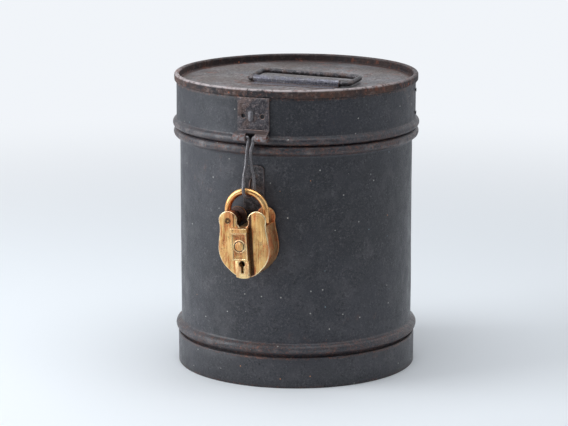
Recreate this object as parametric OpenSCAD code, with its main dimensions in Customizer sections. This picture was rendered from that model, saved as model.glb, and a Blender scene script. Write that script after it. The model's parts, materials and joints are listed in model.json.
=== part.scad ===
// Small round tin trunk with a hinged lid, a wire hasp link and an old lever padlock.
// Millimetres. The drum stands on z = 0 with its axis on the z axis, and the hasp faces -y.

/* [Drum] */
// Outside diameter of the drum's plain wall
drum_d = 240; // [200:1:300]
// Thickness of the sheet that the drum and lid are made of
sheet_t = 0.8; // [0.6:0.1:1.2]
// Height of the ledge that the lid sits on, above the floor
seat_h = 247.5; // [220:1:300]
// Height of the plain neck above that ledge
neck_h = 13; // [8:1:18]
// How far the seat bead stands out from the wall
seat_bead_out = 6.6; // [5:0.1:7]
// Radius of the round of the seat bead
seat_bead_r = 4.75; // [4:0.05:5.5]
// Radius of the hollow between a bead and the wall
bead_fillet_r = 4; // [3:0.5:5]

/* [Plinth] */
// Height of the band round the foot
plinth_h = 31.6; // [20:0.2:45]
// How far the band stands out from the wall
plinth_out = 3.2; // [2.4:0.1:4]
// How far the bead above the band stands out from the wall
plinth_bead_out = 5.6; // [4.6:0.1:6]
// Radius of the round of that bead
plinth_bead_r = 5; // [4.5:0.1:5.5]

/* [Lid] */
// Height of the lid from its lower edge to the top of the rim
lid_h = 55.5; // [48:0.5:70]
// Gap between the seat and the lid's lower edge
lid_gap = 0.5; // [0.3:0.1:1]
// How far the lid's wall stands out from the drum's
lid_out = 3.4; // [3:0.1:4]
// How far the lid's lower bead stands out from its wall
lid_bead_out = 3.8; // [3:0.1:4]
// Radius of the round of the lid's lower bead
lid_bead_r = 4.3; // [4:0.1:5]
// Height of the rolled rim
rim_h = 8.4; // [7:0.2:10]
// Thickness of the rolled rim
rim_t = 5; // [4.4:0.1:6]
// How far the rim stands out from the lid's wall
rim_out = 2.2; // [1.4:0.1:2.6]
// Depth of the lid's top panel below the top of the rim
panel_drop = 7.8; // [5:0.2:12]
// Angle of the lid's lapped seam, counted from the hasp towards the right
lap_angle = 99; // [60:1:150]
// Length of the lap round the wall, in degrees
lap_span = 5; // [3:0.5:8]

/* [Rivets] */
// Radius of a small rivet's head
rivet_r = 2.6; // [2:0.1:3.2]
// Height of a small rivet's head
rivet_h = 1.5; // [1:0.1:2]

/* [Handle] */
// Diameter of the bail's wire
bail_wire_d = 5.4; // [4.5:0.1:6]
// Length of the bail between the middles of its two arms
bail_len = 109; // [100:1:125]
// Reach of the bail from the sleeve to the middle of the grip
bail_reach = 39; // [34:1:48]
// Radius of the bail's corners at the middle of the wire
bail_corner_r = 5; // [4.5:0.1:7]
// Shift of the bail to the right in its sleeve
bail_shift = 1; // [0:0.2:2]
// Free play of the bail at each end of the sleeve
bail_play = 1.25; // [0.6:0.05:3]
// Angle at which the bail lies above the lid
bail_tilt = 4; // [1:0.5:8]
// Thickness of the sleeve's folded sheet
sleeve_t = 1; // [0.8:0.1:1.4]
// Width of the flange in front of the sleeve
flange_w = 12; // [11:0.5:15]
// Distance of the sleeve in front of the middle of the lid
handle_y = 36; // [28:1:42]
// Shift of the handle to the right
handle_x = 14; // [0:1:16]
// Turn of the handle, seen from above
handle_yaw = -3; // [-5:0.5:5]
// Distance between the sleeve's two rivets
handle_rivet_gap = 57; // [40:1:70]

/* [Hasp] */
// Width of the hasp plate
hasp_w = 33.5; // [28:0.5:40]
// Height of the flat part of the hasp plate
hasp_h = 34; // [28:0.5:36]
// Thickness of the hasp plate
hasp_t = 1.2; // [1:0.1:1.6]
// Shift of the hasp to the right
hasp_x = 1; // [-4:0.5:4]
// Radius of the plate's rolled barrels
barrel_r = 4.2; // [3.8:0.1:4.6]
// Gap between the two barrels
barrel_gap = 9.6; // [9:0.2:12]
// Radius of the empty holes in the plate
hasp_hole_r = 2.3; // [1.5:0.1:2.6]
// Diameter of the link's wire
link_wire_d = 3.4; // [3:0.1:3.6]
// Drop from the barrels to the middle of the wire at the link's lower end
link_drop = 58.9; // [54:0.1:64]

/* [Staple] */
// Width of the staple plate
staple_plate_w = 22; // [18:0.5:28]
// Height of the staple plate
staple_plate_h = 45; // [36:0.5:50]
// Thickness of the staple plate
staple_plate_t = 1.2; // [1:0.1:1.5]
// Diameter of the staple's wire
staple_wire_d = 2.6; // [2.2:0.1:2.8]
// How far the staple stands out from its plate
staple_out = 9.4; // [8.4:0.1:9.6]
// Distance between the staple's two legs
staple_span = 11; // [10:0.2:13]
// Shift of the staple to the right
staple_x = -1; // [-1.5:0.1:-0.5]

/* [Back hinge] */
// Width of the hinge
hinge_w = 44; // [36:1:56]
// Thickness of the hinge leaves
leaf_t = 1.4; // [1.2:0.1:1.8]
// Radius of the hinge knuckles
knuckle_r = 3.4; // [3:0.1:4]
// Radius of the hinge pin
hinge_pin_r = 1.6; // [1.2:0.1:2]
// Gap between two knuckles
knuckle_gap = 0.4; // [0.3:0.1:0.6]
// Height of each leaf on its wall
leaf_h = 24; // [18:1:28]

/* [Padlock] */
// Thickness of the padlock's case
case_t = 28; // [24:0.5:32]
// Thickness of the front and back plates
plate_t = 2.6; // [2:0.1:3]
// Thickness of the side band
band_t = 1.8; // [1.4:0.1:2]
// Radius of the shoulders
lobe_r = 9.8; // [9.4:0.1:10.2]
// Distance of each shoulder's centre from the middle
lobe_x = 15.2; // [15:0.1:15.6]
// Height of the shoulders' centres
lobe_z = 25.7; // [25:0.1:26.5]
// Radius of the shackle's bar
shackle_r = 3.3; // [3:0.1:3.5]
// Radius of the shackle's bow at the middle of the bar
bow_r = 20; // [19.6:0.1:20.4]
// Height of the bow's centre above the middle of the case
bow_z = 33; // [32:0.5:35]
// Lean of the hanging padlock
lock_lean = 3.4; // [0:0.2:5]
// How far the bolt moves to lock the toe
bolt_travel = 3; // [2.4:0.1:3.2]
// How far the keyhole plaque stands out
plaque_out = 7; // [4:0.5:8]
// How far the lower keyhole plate stands out
keyplate_out = 5; // [3:0.5:6]

/* [Fits] */
// Radial clearance of a pin that turns in its bore
run_fit = 0.06; // [0.03:0.01:0.1]
// Clearance between pieces that slide or hang beside each other
side_gap = 0.35; // [0.3:0.05:0.6]
// Clearance between the link's bow and the shackle that hangs on it
bow_play = 0.6; // [0.5:0.05:0.8]

/* [Hidden] */
$fn = 96;
eps = 0.02;

tin = [0.19, 0.20, 0.22];
rust = [0.33, 0.22, 0.17];
iron = [0.27, 0.23, 0.22];
brass = [0.78, 0.60, 0.32];
dark_brass = [0.45, 0.30, 0.17];

drum_r = drum_d / 2;
seat_bead_z = seat_h - seat_bead_r;
plinth_bead_c = drum_r + plinth_bead_out - plinth_bead_r;
plinth_bead_dz = bead_rise(plinth_bead_r, plinth_bead_out, bead_fillet_r - 1);
plinth_bead_z = plinth_h + plinth_bead_dz + 0.2;
plinth_r = drum_r + plinth_out;
lid_z = seat_h + lid_gap;
lid_top = lid_z + lid_h;
lid_r = drum_r + lid_out;
lid_bead_z = lid_z + lid_bead_r;
panel_z = lid_top - panel_drop;
rim_outer_r = lid_r + rim_out;
rim_inner_r = rim_outer_r - rim_t;

bail_r = bail_wire_d / 2;
sleeve_r = bail_r + run_fit + sleeve_t;
sleeve_len = bail_len - 2 * (bail_corner_r + bail_shift + bail_play);
bail_z = panel_z + 3.5;
flange_t = sleeve_t - 0.4;

hasp_y = lid_r + eps;
barrel_z = lid_z + 8.6;
barrel_y = lid_r + 8.4;
link_r = link_wire_d / 2;
link_z = barrel_z - link_drop;

staple_y = drum_r + eps;
staple_top = seat_h - 21;
staple_plate_z = staple_top - staple_plate_h;
staple_rivet_r = 1.9;
shank_share = 0.55;

hinge_y = max(drum_r + seat_bead_out, lid_r + lid_bead_out) + knuckle_r + 0.6;
hinge_z = seat_h + lid_gap / 2;
knuckle_len = (hinge_w - 4 * knuckle_gap) / 5;

bow_c_z = link_z + link_r + bow_play + shackle_r - bow_r;
lock_y = barrel_y + 4.8;
lock_x = hasp_x - 2.5;
case_half = case_t / 2;
hub_t = 8;
hub_r = 8.2;
toe_z = 21.4;
notch_z = 23.2;
notch_h = 4;
pin_r = 2.5;
band_top = 20.6;
key_z = -16.4;
key_x = -0.8;

// Half the height of a bead with its two hollows
function bead_rise(r, out, f) = sqrt(pow(r + f, 2) - pow(f - out + r, 2));

// Points along an arc
function arc(c, r, a0, a1, n) = [for (i = [0:n]) let (a = a0 + (a1 - a0) * i / n) c + r * [cos(a), sin(a)]];

// One side of a swaged bead on a wall of radius wall, taken off inwards for the inner side
function bead(wall, z, r, out, f, off) =
    let (rise = bead_rise(r, out, f), turn = atan2(rise, r - out - f))
    concat(arc([wall + f, z - rise], f + off, 180, turn, 5),
        arc([wall + out - r, z], r - off, turn - 180, 180 - turn, 12),
        arc([wall + f, z + rise], f + off, -turn, -180, 5));

function reverse(p) = [for (i = [len(p) - 1:-1:0]) p[i]];

// The drum's sheet, from the floor to the top of the neck
function drum_side(off) = concat([[drum_r - off, sheet_t]],
    bead(drum_r, plinth_bead_z, plinth_bead_r, plinth_bead_out, bead_fillet_r - 1, off),
    bead(drum_r, seat_bead_z, seat_bead_r, seat_bead_out, bead_fillet_r, off),
    [[drum_r - off, seat_h + neck_h]]);

// The lid's sheet, from its lower edge to the inside of the rim
function lid_side(off) =
    let (f = 2, rise = bead_rise(lid_bead_r, lid_bead_out, f), turn = atan2(rise, lid_bead_r - lid_bead_out - f))
    concat(arc([lid_r + lid_bead_out - lid_bead_r, lid_bead_z], lid_bead_r - off, -80, 180 - turn, 12),
        arc([lid_r + f, lid_bead_z + rise], f + off, -turn, -180, 5),
        [[lid_r - off, lid_top - 1.6]]);

module ring(points) {
    rotate_extrude($fn = 180)
        polygon(points);
}

module ring_part(points, from, span) {
    rotate([0, 0, from])
        rotate_extrude(angle = span, $fn = 180)
            polygon(points);
}

// An upright slab of an outline drawn in x and z, from y0 backwards
module slab(y0, t) {
    translate([0, y0 + t, 0])
        rotate([90, 0, 0])
            linear_extrude(t)
                children();
}

// A profile drawn in y and z, drawn out along x
module along_x(x0, x1) {
    translate([x0, 0, 0])
        rotate([90, 0, 90])
            linear_extrude(x1 - x0)
                children();
}

module x_rod(x0, x1, y, z, r) {
    translate([x0, y, z])
        rotate([0, 90, 0])
            cylinder(r = r, h = x1 - x0, $fn = 48);
}

module y_rod(x, y0, y1, z, r) {
    translate([x, y1, z])
        rotate([90, 0, 0])
            cylinder(r = r, h = y1 - y0, $fn = 48);
}

// A domed rivet on the z axis, with its shank reaching down
module rivet(r, h, shank) {
    dome = (r * r + h * h) / (2 * h);
    intersection() {
        translate([0, 0, h - dome])
            sphere(r = dome, $fn = 48);
        cylinder(r = r + 1, h = h + 1, $fn = 48);
    }
    translate([0, 0, -shank])
        cylinder(r = r * shank_share, h = shank + 0.1, $fn = 32);
}

// The hole that a rivet's shank goes through
module rivet_hole(r) {
    translate([0, 0, -8])
        cylinder(r = r * shank_share + eps, h = 12, $fn = 32);
}

// Places of the rivets: each is drawn with its head on the z axis
module at_wall(angle, radius, z) {
    rotate([0, 0, angle - 90])
        translate([radius, 0, z])
            rotate([0, 90, 0])
                children();
}

module at_body_seam() {
    for (i = [0:seam_rivets - 1])
        at_wall(seam_angle, drum_r + sheet_t, seam_lo + (seam_hi - seam_lo) * i / (seam_rivets - 1))
            children();
}

module at_lid_seam() {
    for (z = [lid_bead_z + lid_bead_r + 7, lid_top - rim_h - 8])
        at_wall(lap_angle + lap_span / 2, lid_r + sheet_t, z)
            children();
}

module at_hinge_body() {
    for (side = [-1, 1], row = [0, 1])
        translate([side * leaf_rivet_x, drum_r + leaf_t + eps, hinge_z - leaf_jog - 18 - row * (leaf_h - 12)])
            rotate([-90, 0, 0])
                children();
}

module at_hinge_lid() {
    for (side = [-1, 1])
        translate([side * leaf_rivet_x, lid_r + leaf_t + eps, hinge_z + leaf_jog + leaf_h - 5])
            rotate([-90, 0, 0])
                children();
}

module at_staple_plate() {
    for (dz = [5, staple_plate_h - 5])
        translate([0, -staple_y - staple_plate_t, staple_plate_z + dz])
            rotate([90, 0, 0])
                children();
}

module at_handle() {
    handle_place()
        for (side = [-1, 1])
            translate([side * handle_rivet_gap / 2 - 9, -sleeve_r - flange_w / 2 - side * 1.5,
                panel_z - bail_z + flange_t])
                children();
}

module body_shell() {
    color(tin)
        difference() {
            union() {
                ring(concat(drum_side(0), reverse(drum_side(sheet_t))));
                ring_part([[drum_r - 0.1, seam_lo - 6], [drum_r + sheet_t, seam_lo - 6],
                    [drum_r + sheet_t, seam_hi + 6], [drum_r - 0.1, seam_hi + 6]],
                    seam_angle - 90 - seam_span / 2, seam_span);
            }
            at_body_seam()
                rivet_hole(rivet_r);
            at_hinge_body()
                rivet_hole(rivet_r);
            at_staple_plate()
                rivet_hole(staple_rivet_r);
            for (dz = [0, staple_span])
                y_rod(staple_x, -drum_r - 4, -drum_r + 4, staple_z + dz, staple_wire_d / 2 + eps);
        }
}

module bottom_disc() {
    color(tin)
        cylinder(r = plinth_r - sheet_t - eps, h = sheet_t - eps, $fn = 180);
}

module plinth_band() {
    color(tin)
        ring([[plinth_r - sheet_t, 0], [plinth_r, 0], [plinth_r, plinth_h - 0.6], [plinth_r - 0.6, plinth_h],
            [drum_r + eps, plinth_h], [drum_r + eps, plinth_h - sheet_t], [plinth_r - sheet_t, plinth_h - sheet_t]]);
}

// Seam at the back of the drum: a lapped strip held by rivets
seam_rivets = 4;
leaf_jog = 9;
seam_lo = plinth_bead_z + 2 * plinth_bead_dz;
seam_hi = seat_bead_z - 20;
seam_angle = 150;
seam_span = 6;

module body_seam_rivets() {
    color(iron)
        at_body_seam()
            rivet(rivet_r, rivet_h, 2 * sheet_t);
}

module staple_plate() {
    corner = 5;
    color(iron)
        slab(-staple_y - staple_plate_t, staple_plate_t)
            difference() {
                union() {
                    translate([-staple_plate_w / 2, staple_plate_z])
                        square([staple_plate_w, staple_plate_h - corner]);
                    translate([corner - staple_plate_w / 2, staple_top - corner - 1])
                        square([staple_plate_w - 2 * corner, corner + 1]);
                    for (side = [-1, 1])
                        translate([side * (staple_plate_w / 2 - corner), staple_top - corner])
                            circle(corner, $fn = 48);
                }
                for (dz = [0, staple_span])
                    translate([staple_x, staple_z + dz])
                        circle(staple_wire_d / 2 + eps, $fn = 32);
                for (dz = [5, staple_plate_h - 5])
                    translate([0, staple_plate_z + dz])
                        circle(staple_rivet_r * shank_share + eps, $fn = 32);
            }
}

staple_z = staple_plate_z + (staple_plate_h - staple_span) / 2 + 3;

module staple() {
    r = staple_wire_d / 2;
    bend = staple_span / 2;
    leg = staple_out + staple_plate_t + sheet_t - bend - r;
    color(rust)
        translate([staple_x, sheet_t - drum_r, staple_z + bend])
            rotate([0, 90, 0]) {
                translate([0, -leg, 0])
                    rotate([0, 0, 180])
                        rotate_extrude(angle = 180)
                            translate([bend, 0])
                                circle(r, $fn = 32);
                for (side = [-1, 1])
                    translate([side * bend, 0, 0])
                        rotate([90, 0, 0])
                            cylinder(r = r, h = leg, $fn = 32);
            }
}

module staple_rivets() {
    color(rust)
        at_staple_plate()
            rivet(staple_rivet_r, 0.6, staple_plate_t + sheet_t);
}

// The plate of one hinge leaf: flat on the wall, then out over the bead to the knuckles
module leaf(wall, z_far, z_near) {
    up = z_near > z_far ? 1 : -1;
    over = hinge_y - knuckle_r - 0.4;
    step = z_near - up * (leaf_jog + 10);
    along_x(-hinge_w / 2, hinge_w / 2)
        polygon([[wall, z_far], [wall + leaf_t, z_far], [wall + leaf_t, step - up * 0.6],
            [over + leaf_t, step + up * (over - wall)], [over + leaf_t, z_near], [over, z_near],
            [over, step + up * (over - wall + 0.6)], [wall, step]]);
}

module knuckles(first) {
    for (i = [first:2:4])
        x_rod(-hinge_w / 2 + i * (knuckle_len + knuckle_gap), -hinge_w / 2 + i * (knuckle_len + knuckle_gap)
            + knuckle_len, hinge_y, hinge_z, knuckle_r);
}

module knuckle_clear(first) {
    for (i = [first:2:4])
        x_rod(-hinge_w / 2 + i * (knuckle_len + knuckle_gap) - knuckle_gap, -hinge_w / 2
            + i * (knuckle_len + knuckle_gap) + knuckle_len + knuckle_gap, hinge_y, hinge_z, knuckle_r + 0.5);
}

module hinge_body_leaf() {
    color(iron)
        difference() {
            union() {
                difference() {
                    leaf(drum_r + eps, hinge_z - leaf_jog - 12 - leaf_h, hinge_z);
                    knuckle_clear(1);
                    ring(bead_room(0.1));
                }
                knuckles(0);
            }
            x_rod(-hinge_w, hinge_w, hinge_y, hinge_z, hinge_pin_r + eps);
            at_hinge_body()
                rivet_hole(rivet_r);
        }
}

// The space of the seat bead, cut from what passes over it
function bead_room(off) = concat([[drum_r - 3, seat_bead_z - 12]],
    bead(drum_r, seat_bead_z, seat_bead_r, seat_bead_out, bead_fillet_r, -off),
    [[drum_r - 3, seat_bead_z + 12]]);

module hinge_lid_leaf() {
    color(iron)
        difference() {
            union() {
                difference() {
                    leaf(lid_r + eps, hinge_z + leaf_jog + 4 + leaf_h, hinge_z);
                    knuckle_clear(0);
                    cylinder(r = lid_r + lid_bead_out + 0.1, h = lid_bead_z + lid_bead_r, $fn = 180);
                }
                knuckles(1);
            }
            x_rod(-hinge_w, hinge_w, hinge_y, hinge_z, hinge_pin_r + run_fit);
            at_hinge_lid()
                rivet_hole(rivet_r);
        }
}

module hinge_pin() {
    color(iron)
        union() {
            x_rod(-hinge_w / 2 - 0.6, hinge_w / 2 + 0.6, hinge_y, hinge_z, hinge_pin_r);
            for (side = [-1, 1])
                x_rod(side * (hinge_w / 2 + 0.6) - 0.6, side * (hinge_w / 2 + 0.6) + 0.6, hinge_y, hinge_z,
                    hinge_pin_r + 0.9);
        }
}

leaf_rivet_x = hinge_w / 2 - 7;

module hinge_body_rivets() {
    color(iron)
        at_hinge_body()
            rivet(rivet_r, rivet_h, leaf_t + 2);
}

module hinge_lid_rivets() {
    color(iron)
        at_hinge_lid()
            rivet(rivet_r, rivet_h, leaf_t + 2);
}

module lid_band() {
    lap_low = lid_bead_z + lid_bead_r + 1.6;
    lap_high = lid_top - rim_h - 0.6;
    color(tin)
        difference() {
            union() {
                ring(concat(lid_side(0), reverse(lid_side(sheet_t))));
                ring_part([[lid_r - 0.1, lap_low], [lid_r + sheet_t, lap_low], [lid_r + sheet_t, lap_high],
                    [lid_r - 0.1, lap_high]], lap_angle - 90, lap_span);
            }
            at_lid_seam()
                rivet_hole(rivet_r);
            at_hinge_lid()
                rivet_hole(rivet_r);
            y_rod(hasp_x + hasp_rivet_x, -lid_r - 5, -lid_r + 5, hasp_row, hasp_shank_r + eps);
        }
}

rim_round = 2;

module lid_top_panel() {
    rim_z = lid_top - rim_h;
    color(tin)
        difference() {
            ring(concat([[0, panel_z - sheet_t]], [[rim_inner_r + 0.2, panel_z - sheet_t]],
                [[rim_inner_r + 0.2, rim_z + 0.4]],
                arc([rim_outer_r - rim_round, rim_z + rim_round], rim_round, -90, 0, 4),
                arc([rim_outer_r - rim_round, lid_top - rim_round], rim_round, 0, 90, 4),
                arc([rim_inner_r + rim_round, lid_top - rim_round], rim_round, 90, 180, 4),
                [[rim_inner_r, panel_z + 1], [rim_inner_r - 1, panel_z], [0, panel_z]]));
            ring([[lid_r - sheet_t - eps, rim_z - 1], [lid_r + eps, rim_z - 1], [lid_r + eps, lid_top - 1.5],
                [lid_r - sheet_t - eps, lid_top - 1.5]]);
            at_handle()
                rivet_hole(rivet_r);
        }
}

module lid_seam_rivets() {
    color(iron)
        at_lid_seam()
            rivet(rivet_r, rivet_h, 2 * sheet_t);
}

// Everything on the handle is drawn with the bail's axis on the x axis
module handle_place() {
    translate([handle_x, -handle_y, bail_z])
        rotate([0, 0, handle_yaw])
            children();
}

module handle_sleeve() {
    bore = bail_r + run_fit;
    foot = panel_z - bail_z;
    color(iron)
        difference() {
            handle_place()
                union() {
                    x_rod(-sleeve_len / 2, sleeve_len / 2, 0, 0, sleeve_r);
                    translate([-sleeve_len / 2, -sleeve_r, foot])
                        cube([sleeve_len, 2 * sleeve_r, -foot]);
                    translate([-sleeve_len / 2 + 3, -sleeve_r - flange_w, foot])
                        cube([sleeve_len - 6, flange_w + 1, flange_t]);
                }
            handle_place() {
                x_rod(-sleeve_len, sleeve_len, 0, 0, bore);
                translate([-sleeve_len, -bore, foot - 1])
                    cube([2 * sleeve_len, 2 * bore, 1 - foot]);
            }
            at_handle()
                rivet_hole(rivet_r);
        }
}

module handle_rivets() {
    color(rust)
        at_handle()
            rivet(rivet_r, rivet_h, flange_t + sheet_t);
}

module bail_corner(x, y, turn) {
    translate([x, y, 0])
        rotate([0, 0, turn])
            rotate_extrude(angle = 90)
                translate([bail_corner_r, 0])
                    circle(bail_r, $fn = 32);
}

module handle_bail() {
    half = bail_len / 2;
    c = bail_corner_r;
    color(iron)
        handle_place()
            rotate([bail_tilt, 0, 0])
                translate([bail_shift, 0, 0])
                    union() {
                        for (y = [0, bail_reach])
                            x_rod(c - half, half - c, y, 0, bail_r);
                        for (x = [-half, half])
                            y_rod(x, c, bail_reach - c, 0, bail_r);
                        bail_corner(half - c, c, -90);
                        bail_corner(half - c, bail_reach - c, 0);
                        bail_corner(c - half, bail_reach - c, 90);
                        bail_corner(c - half, c, 180);
                    }
}

hasp_left = hasp_x - hasp_w / 2;
hasp_top = barrel_z + 4.6 + hasp_h;
hasp_row = barrel_z + 20;
hasp_rivet_x = -2.6;
hasp_shank_r = 1.6;

// The hasp plate: flat on the lid, then out over the bead to the two barrels
module hasp_plate() {
    flat_z = barrel_z + 5.5;
    color(iron)
        difference() {
            union() {
                difference() {
                    along_x(hasp_left, hasp_left + hasp_w)
                        polygon([[-hasp_y, flat_z], [-hasp_y, hasp_top], [-hasp_y - hasp_t, hasp_top],
                            [-hasp_y - hasp_t, flat_z + 0.6], [-barrel_y, barrel_z + barrel_r],
                            [-barrel_y, barrel_z + barrel_r - hasp_t], [-barrel_y + barrel_r * 0.8, barrel_z + 1.2],
                            [-hasp_y - 1, flat_z - 1.2]]);
                    cylinder(r = lid_r + lid_bead_out + 0.1, h = lid_bead_z + lid_bead_r - 1, $fn = 180);
                    for (x = [hasp_x - 10.5, hasp_x + 9.5])
                        y_rod(x, -hasp_y - 5, -hasp_y + 5, hasp_row, hasp_hole_r);
                    y_rod(hasp_x + hasp_rivet_x, -hasp_y - 5, -hasp_y + 5, hasp_row, hasp_shank_r + eps);
                }
                x_rod(hasp_left - 1, hasp_x - barrel_gap / 2, -barrel_y, barrel_z, barrel_r);
                x_rod(hasp_x + barrel_gap / 2, hasp_left + hasp_w + 1, -barrel_y, barrel_z, barrel_r);
            }
            x_rod(hasp_left - 5, hasp_left + hasp_w + 5, -barrel_y, barrel_z, link_r + run_fit);
            translate([hasp_x - barrel_gap / 2, -barrel_y - 8, barrel_z - 8])
                cube([barrel_gap, 14, 8 + barrel_r]);
        }
}

module hasp_rivet() {
    color(iron)
        translate([hasp_x + hasp_rivet_x, -hasp_y - hasp_t, hasp_row])
            rotate([90, 0, 0]) {
                difference() {
                    union() {
                        for (dz = [-2.6, 2.6])
                            translate([0, dz, -0.9])
                                sphere(r = 3.3, $fn = 40);
                        translate([0, 2.6, -0.9])
                            rotate([90, 0, 0])
                                cylinder(r = 3.3, h = 5.2, $fn = 40);
                    }
                    translate([-10, -10, -10])
                        cube([20, 20, 10]);
                }
                translate([0, 0, -hasp_t - sheet_t])
                    cylinder(r = hasp_shank_r, h = hasp_t + sheet_t + 0.1, $fn = 32);
            }
}

// Middle line of the link's free wire: left leg, twisted bow under the shackle, right leg.
// x is counted from the hasp's middle, y outwards from the barrels, z from the barrels down.
link_bend = 2;
bend_x = barrel_gap / 2 - 0.2;
link_left = [[link_bend - bend_x, 0, -link_bend], [link_bend - bend_x, 0, -6], [-3.6, 0.2, -12], [-4, 1.2, -20],
    [-4, 3, -28], [-4.6, 5.6, -36], [-4.4, 8.6, -43], [-3.4, 11.9, -49]];
link_right = [[bend_x - link_bend, 0, -link_bend], [bend_x - link_bend - 0.3, 0, -6], [0.3, 0, -13],
    [-0.1, -0.4, -22], [0.9, -1, -30], [2.6, -1.4, -37], [2.8, -2, -44], [2.8, -2.3, -49]];
bow_left = link_left[7];
bow_right = link_right[7];
bow_mid = (bow_left + bow_right) / 2;
bow_half = (bow_left - bow_right) / 2;
bow_drop = link_drop - 49;

link_bow = [for (a = [15:15:165]) bow_mid + bow_half * cos(a) - [0, 0, bow_drop * pow(sin(a), 0.75)]];
link_start = [for (a = [0:22.5:67.5]) [link_bend * sin(a) - bend_x, 0, link_bend * (cos(a) - 1)]];
link_end = [for (a = [67.5:-22.5:0]) [bend_x - link_bend * sin(a), 0, link_bend * (cos(a) - 1)]];
link_path = concat(link_start, link_left, link_bow, reverse(link_right), link_end);

function unit(v) = v / norm(v);
function path_dir(p, i) = unit(p[min(i + 1, len(p) - 1)] - p[max(i - 1, 0)]);

// Side direction of each ring, carried along the path so that the tube doesn't twist
function carry(p, n, s, i) = i == len(p) ? s :
    let (d = path_dir(p, i), last = s[len(s) - 1], u = unit(last - d * (last * d)))
    carry(p, n, concat(s, [u]), i + 1);

module tube_along(path, r, sides) {
    d0 = path_dir(path, 0);
    start = unit(cross(d0, abs(d0[2]) < 0.9 ? [0, 0, 1] : [0, 1, 0]));
    frames = carry(path, sides, [start], 1);
    rings = [for (i = [0:len(path) - 1]) let (d = path_dir(path, i), u = frames[i], v = cross(d, u))
        for (k = [0:sides - 1]) path[i] + r * (u * cos(360 * k / sides) + v * sin(360 * k / sides))];
    n = len(path);
    walls = [for (i = [0:n - 2], k = [0:sides - 1])
        let (a = i * sides + k, b = i * sides + (k + 1) % sides)
        each [[a, a + sides, b], [b, a + sides, b + sides]]];
    caps = [[for (k = [0:sides - 1]) k], [for (k = [sides - 1:-1:0]) (n - 1) * sides + k]];
    polyhedron(points = rings, faces = concat(walls, caps), convexity = 6);
}

module hasp_link() {
    end = hasp_w / 2 - 2;
    color(rust)
        translate([hasp_x, -barrel_y, barrel_z])
            union() {
                tube_along([for (p = link_path) [p[0], -p[1], p[2]]], link_r * 1.05, 12);
                x_rod(-end, 0.2 - bend_x, 0, 0, link_r);
                x_rod(bend_x - 0.2, end, 0, 0, link_r);
            }
}

// Everything of the padlock is drawn round the middle of its case
module lock_place() {
    translate([lock_x, -lock_y, bow_c_z])
        rotate([0, -lock_lean, 0])
            translate([0, 0, -bow_z])
                children();
}

module shackle() {
    toe_x = bow_r;
    color(brass)
        lock_place()
            difference() {
                union() {
                    translate([0, 0, bow_z])
                        rotate([90, 0, 0])
                            rotate_extrude(angle = 180)
                                translate([bow_r, 0])
                                    circle(shackle_r, $fn = 40);
                    translate([toe_x, 0, toe_z])
                        cylinder(r = shackle_r, h = bow_z - toe_z, $fn = 40);
                    translate([-bow_r, 0, lobe_z])
                        cylinder(r = shackle_r, h = bow_z - lobe_z, $fn = 40);
                    y_rod(-lobe_x, -hub_t / 2, hub_t / 2, lobe_z, hub_r);
                }
                y_rod(-lobe_x, -hub_t, hub_t, lobe_z, pin_r + run_fit);
                translate([toe_x - shackle_r - 1, -shackle_r - 1, notch_z])
                    cube([bolt_travel + 1.4, 2 * shackle_r + 2, notch_h]);
            }
}

// Outline of the case below its shoulders
module case_outline(inset) {
    translate([0, -2.5])
        circle(27 - inset, $fn = 90);
    translate([0, -9.5])
        circle(22 - inset, $fn = 90);
    polygon([[inset - 26.9, -2.5], [26.9 - inset, -2.5], [26.2 - inset, 6], [24.6 - inset, 15], [24.3 - inset, 20],
        [24.3 - inset, 21.6], [inset - 24.3, 21.6], [inset - 24.3, 20], [inset - 24.6, 15], [inset - 26.2, 6]]);
}

module plate_outline() {
    difference() {
        union() {
            case_outline(0);
            for (side = [-1, 1]) {
                translate([side * lobe_x, lobe_z])
                    circle(lobe_r, $fn = 60);
                translate([side * lobe_x - lobe_r + 0.6, 18])
                    square([2 * lobe_r - 1.3, lobe_z - 18]);
            }
        }
        translate([0, lobe_z - 1])
            circle(lobe_x - lobe_r + 0.6, $fn = 48);
        translate([lobe_r - lobe_x, lobe_z - 1])
            square([2 * (lobe_x - lobe_r), 20]);
    }
}

case_rivet_spots = [[-19.5, 4], [19.5, 4], [-13, -20], [12, -20.5]];

module plate_holes(y0) {
    y_rod(-lobe_x, y0 - 1, y0 + plate_t + 1, lobe_z, pin_r + eps);
    for (p = case_rivet_spots)
        y_rod(p[0], y0 - 1, y0 + plate_t + 1, p[1], 1.4 + eps);
}

module lock_front_plate() {
    color(brass)
        lock_place()
            difference() {
                slab(-case_half, plate_t)
                    plate_outline();
                plate_holes(-case_half);
                keyhole();
            }
}

module lock_back_plate() {
    color(brass)
        lock_place()
            difference() {
                slab(case_half - plate_t, plate_t)
                    plate_outline();
                plate_holes(case_half - plate_t);
            }
}

inner_half = case_half - plate_t;

module lock_side_band() {
    color(brass)
        lock_place()
            difference() {
                slab(eps - inner_half, 2 * (inner_half - eps))
                    difference() {
                        case_outline(0);
                        case_outline(band_t);
                        translate([-22, 10])
                            square([44, 20]);
                        translate([-30, band_top])
                            square([60, 10]);
                    }
            }
}

module valley_bar() {
    color(dark_brass)
        lock_place()
            slab(eps - inner_half, 2 * (inner_half - eps))
                translate([-5.2, 16.4])
                    square([10.4, 3]);
}

module heel_pin() {
    collar = (inner_half - hub_t / 2) - 0.2;
    color(dark_brass)
        lock_place()
            union() {
                y_rod(-lobe_x, -case_half, case_half, lobe_z, pin_r);
                y_rod(-lobe_x, -hub_t / 2 - 0.1 - collar, -hub_t / 2 - 0.1, lobe_z, pin_r + 2);
                y_rod(-lobe_x, hub_t / 2 + 0.1, hub_t / 2 + 0.1 + collar, lobe_z, pin_r + 2);
            }
}

module case_rivets() {
    color(dark_brass)
        lock_place()
            for (p = case_rivet_spots)
                y_rod(p[0], -case_half, case_half, p[1], 1.4);
}

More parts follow.
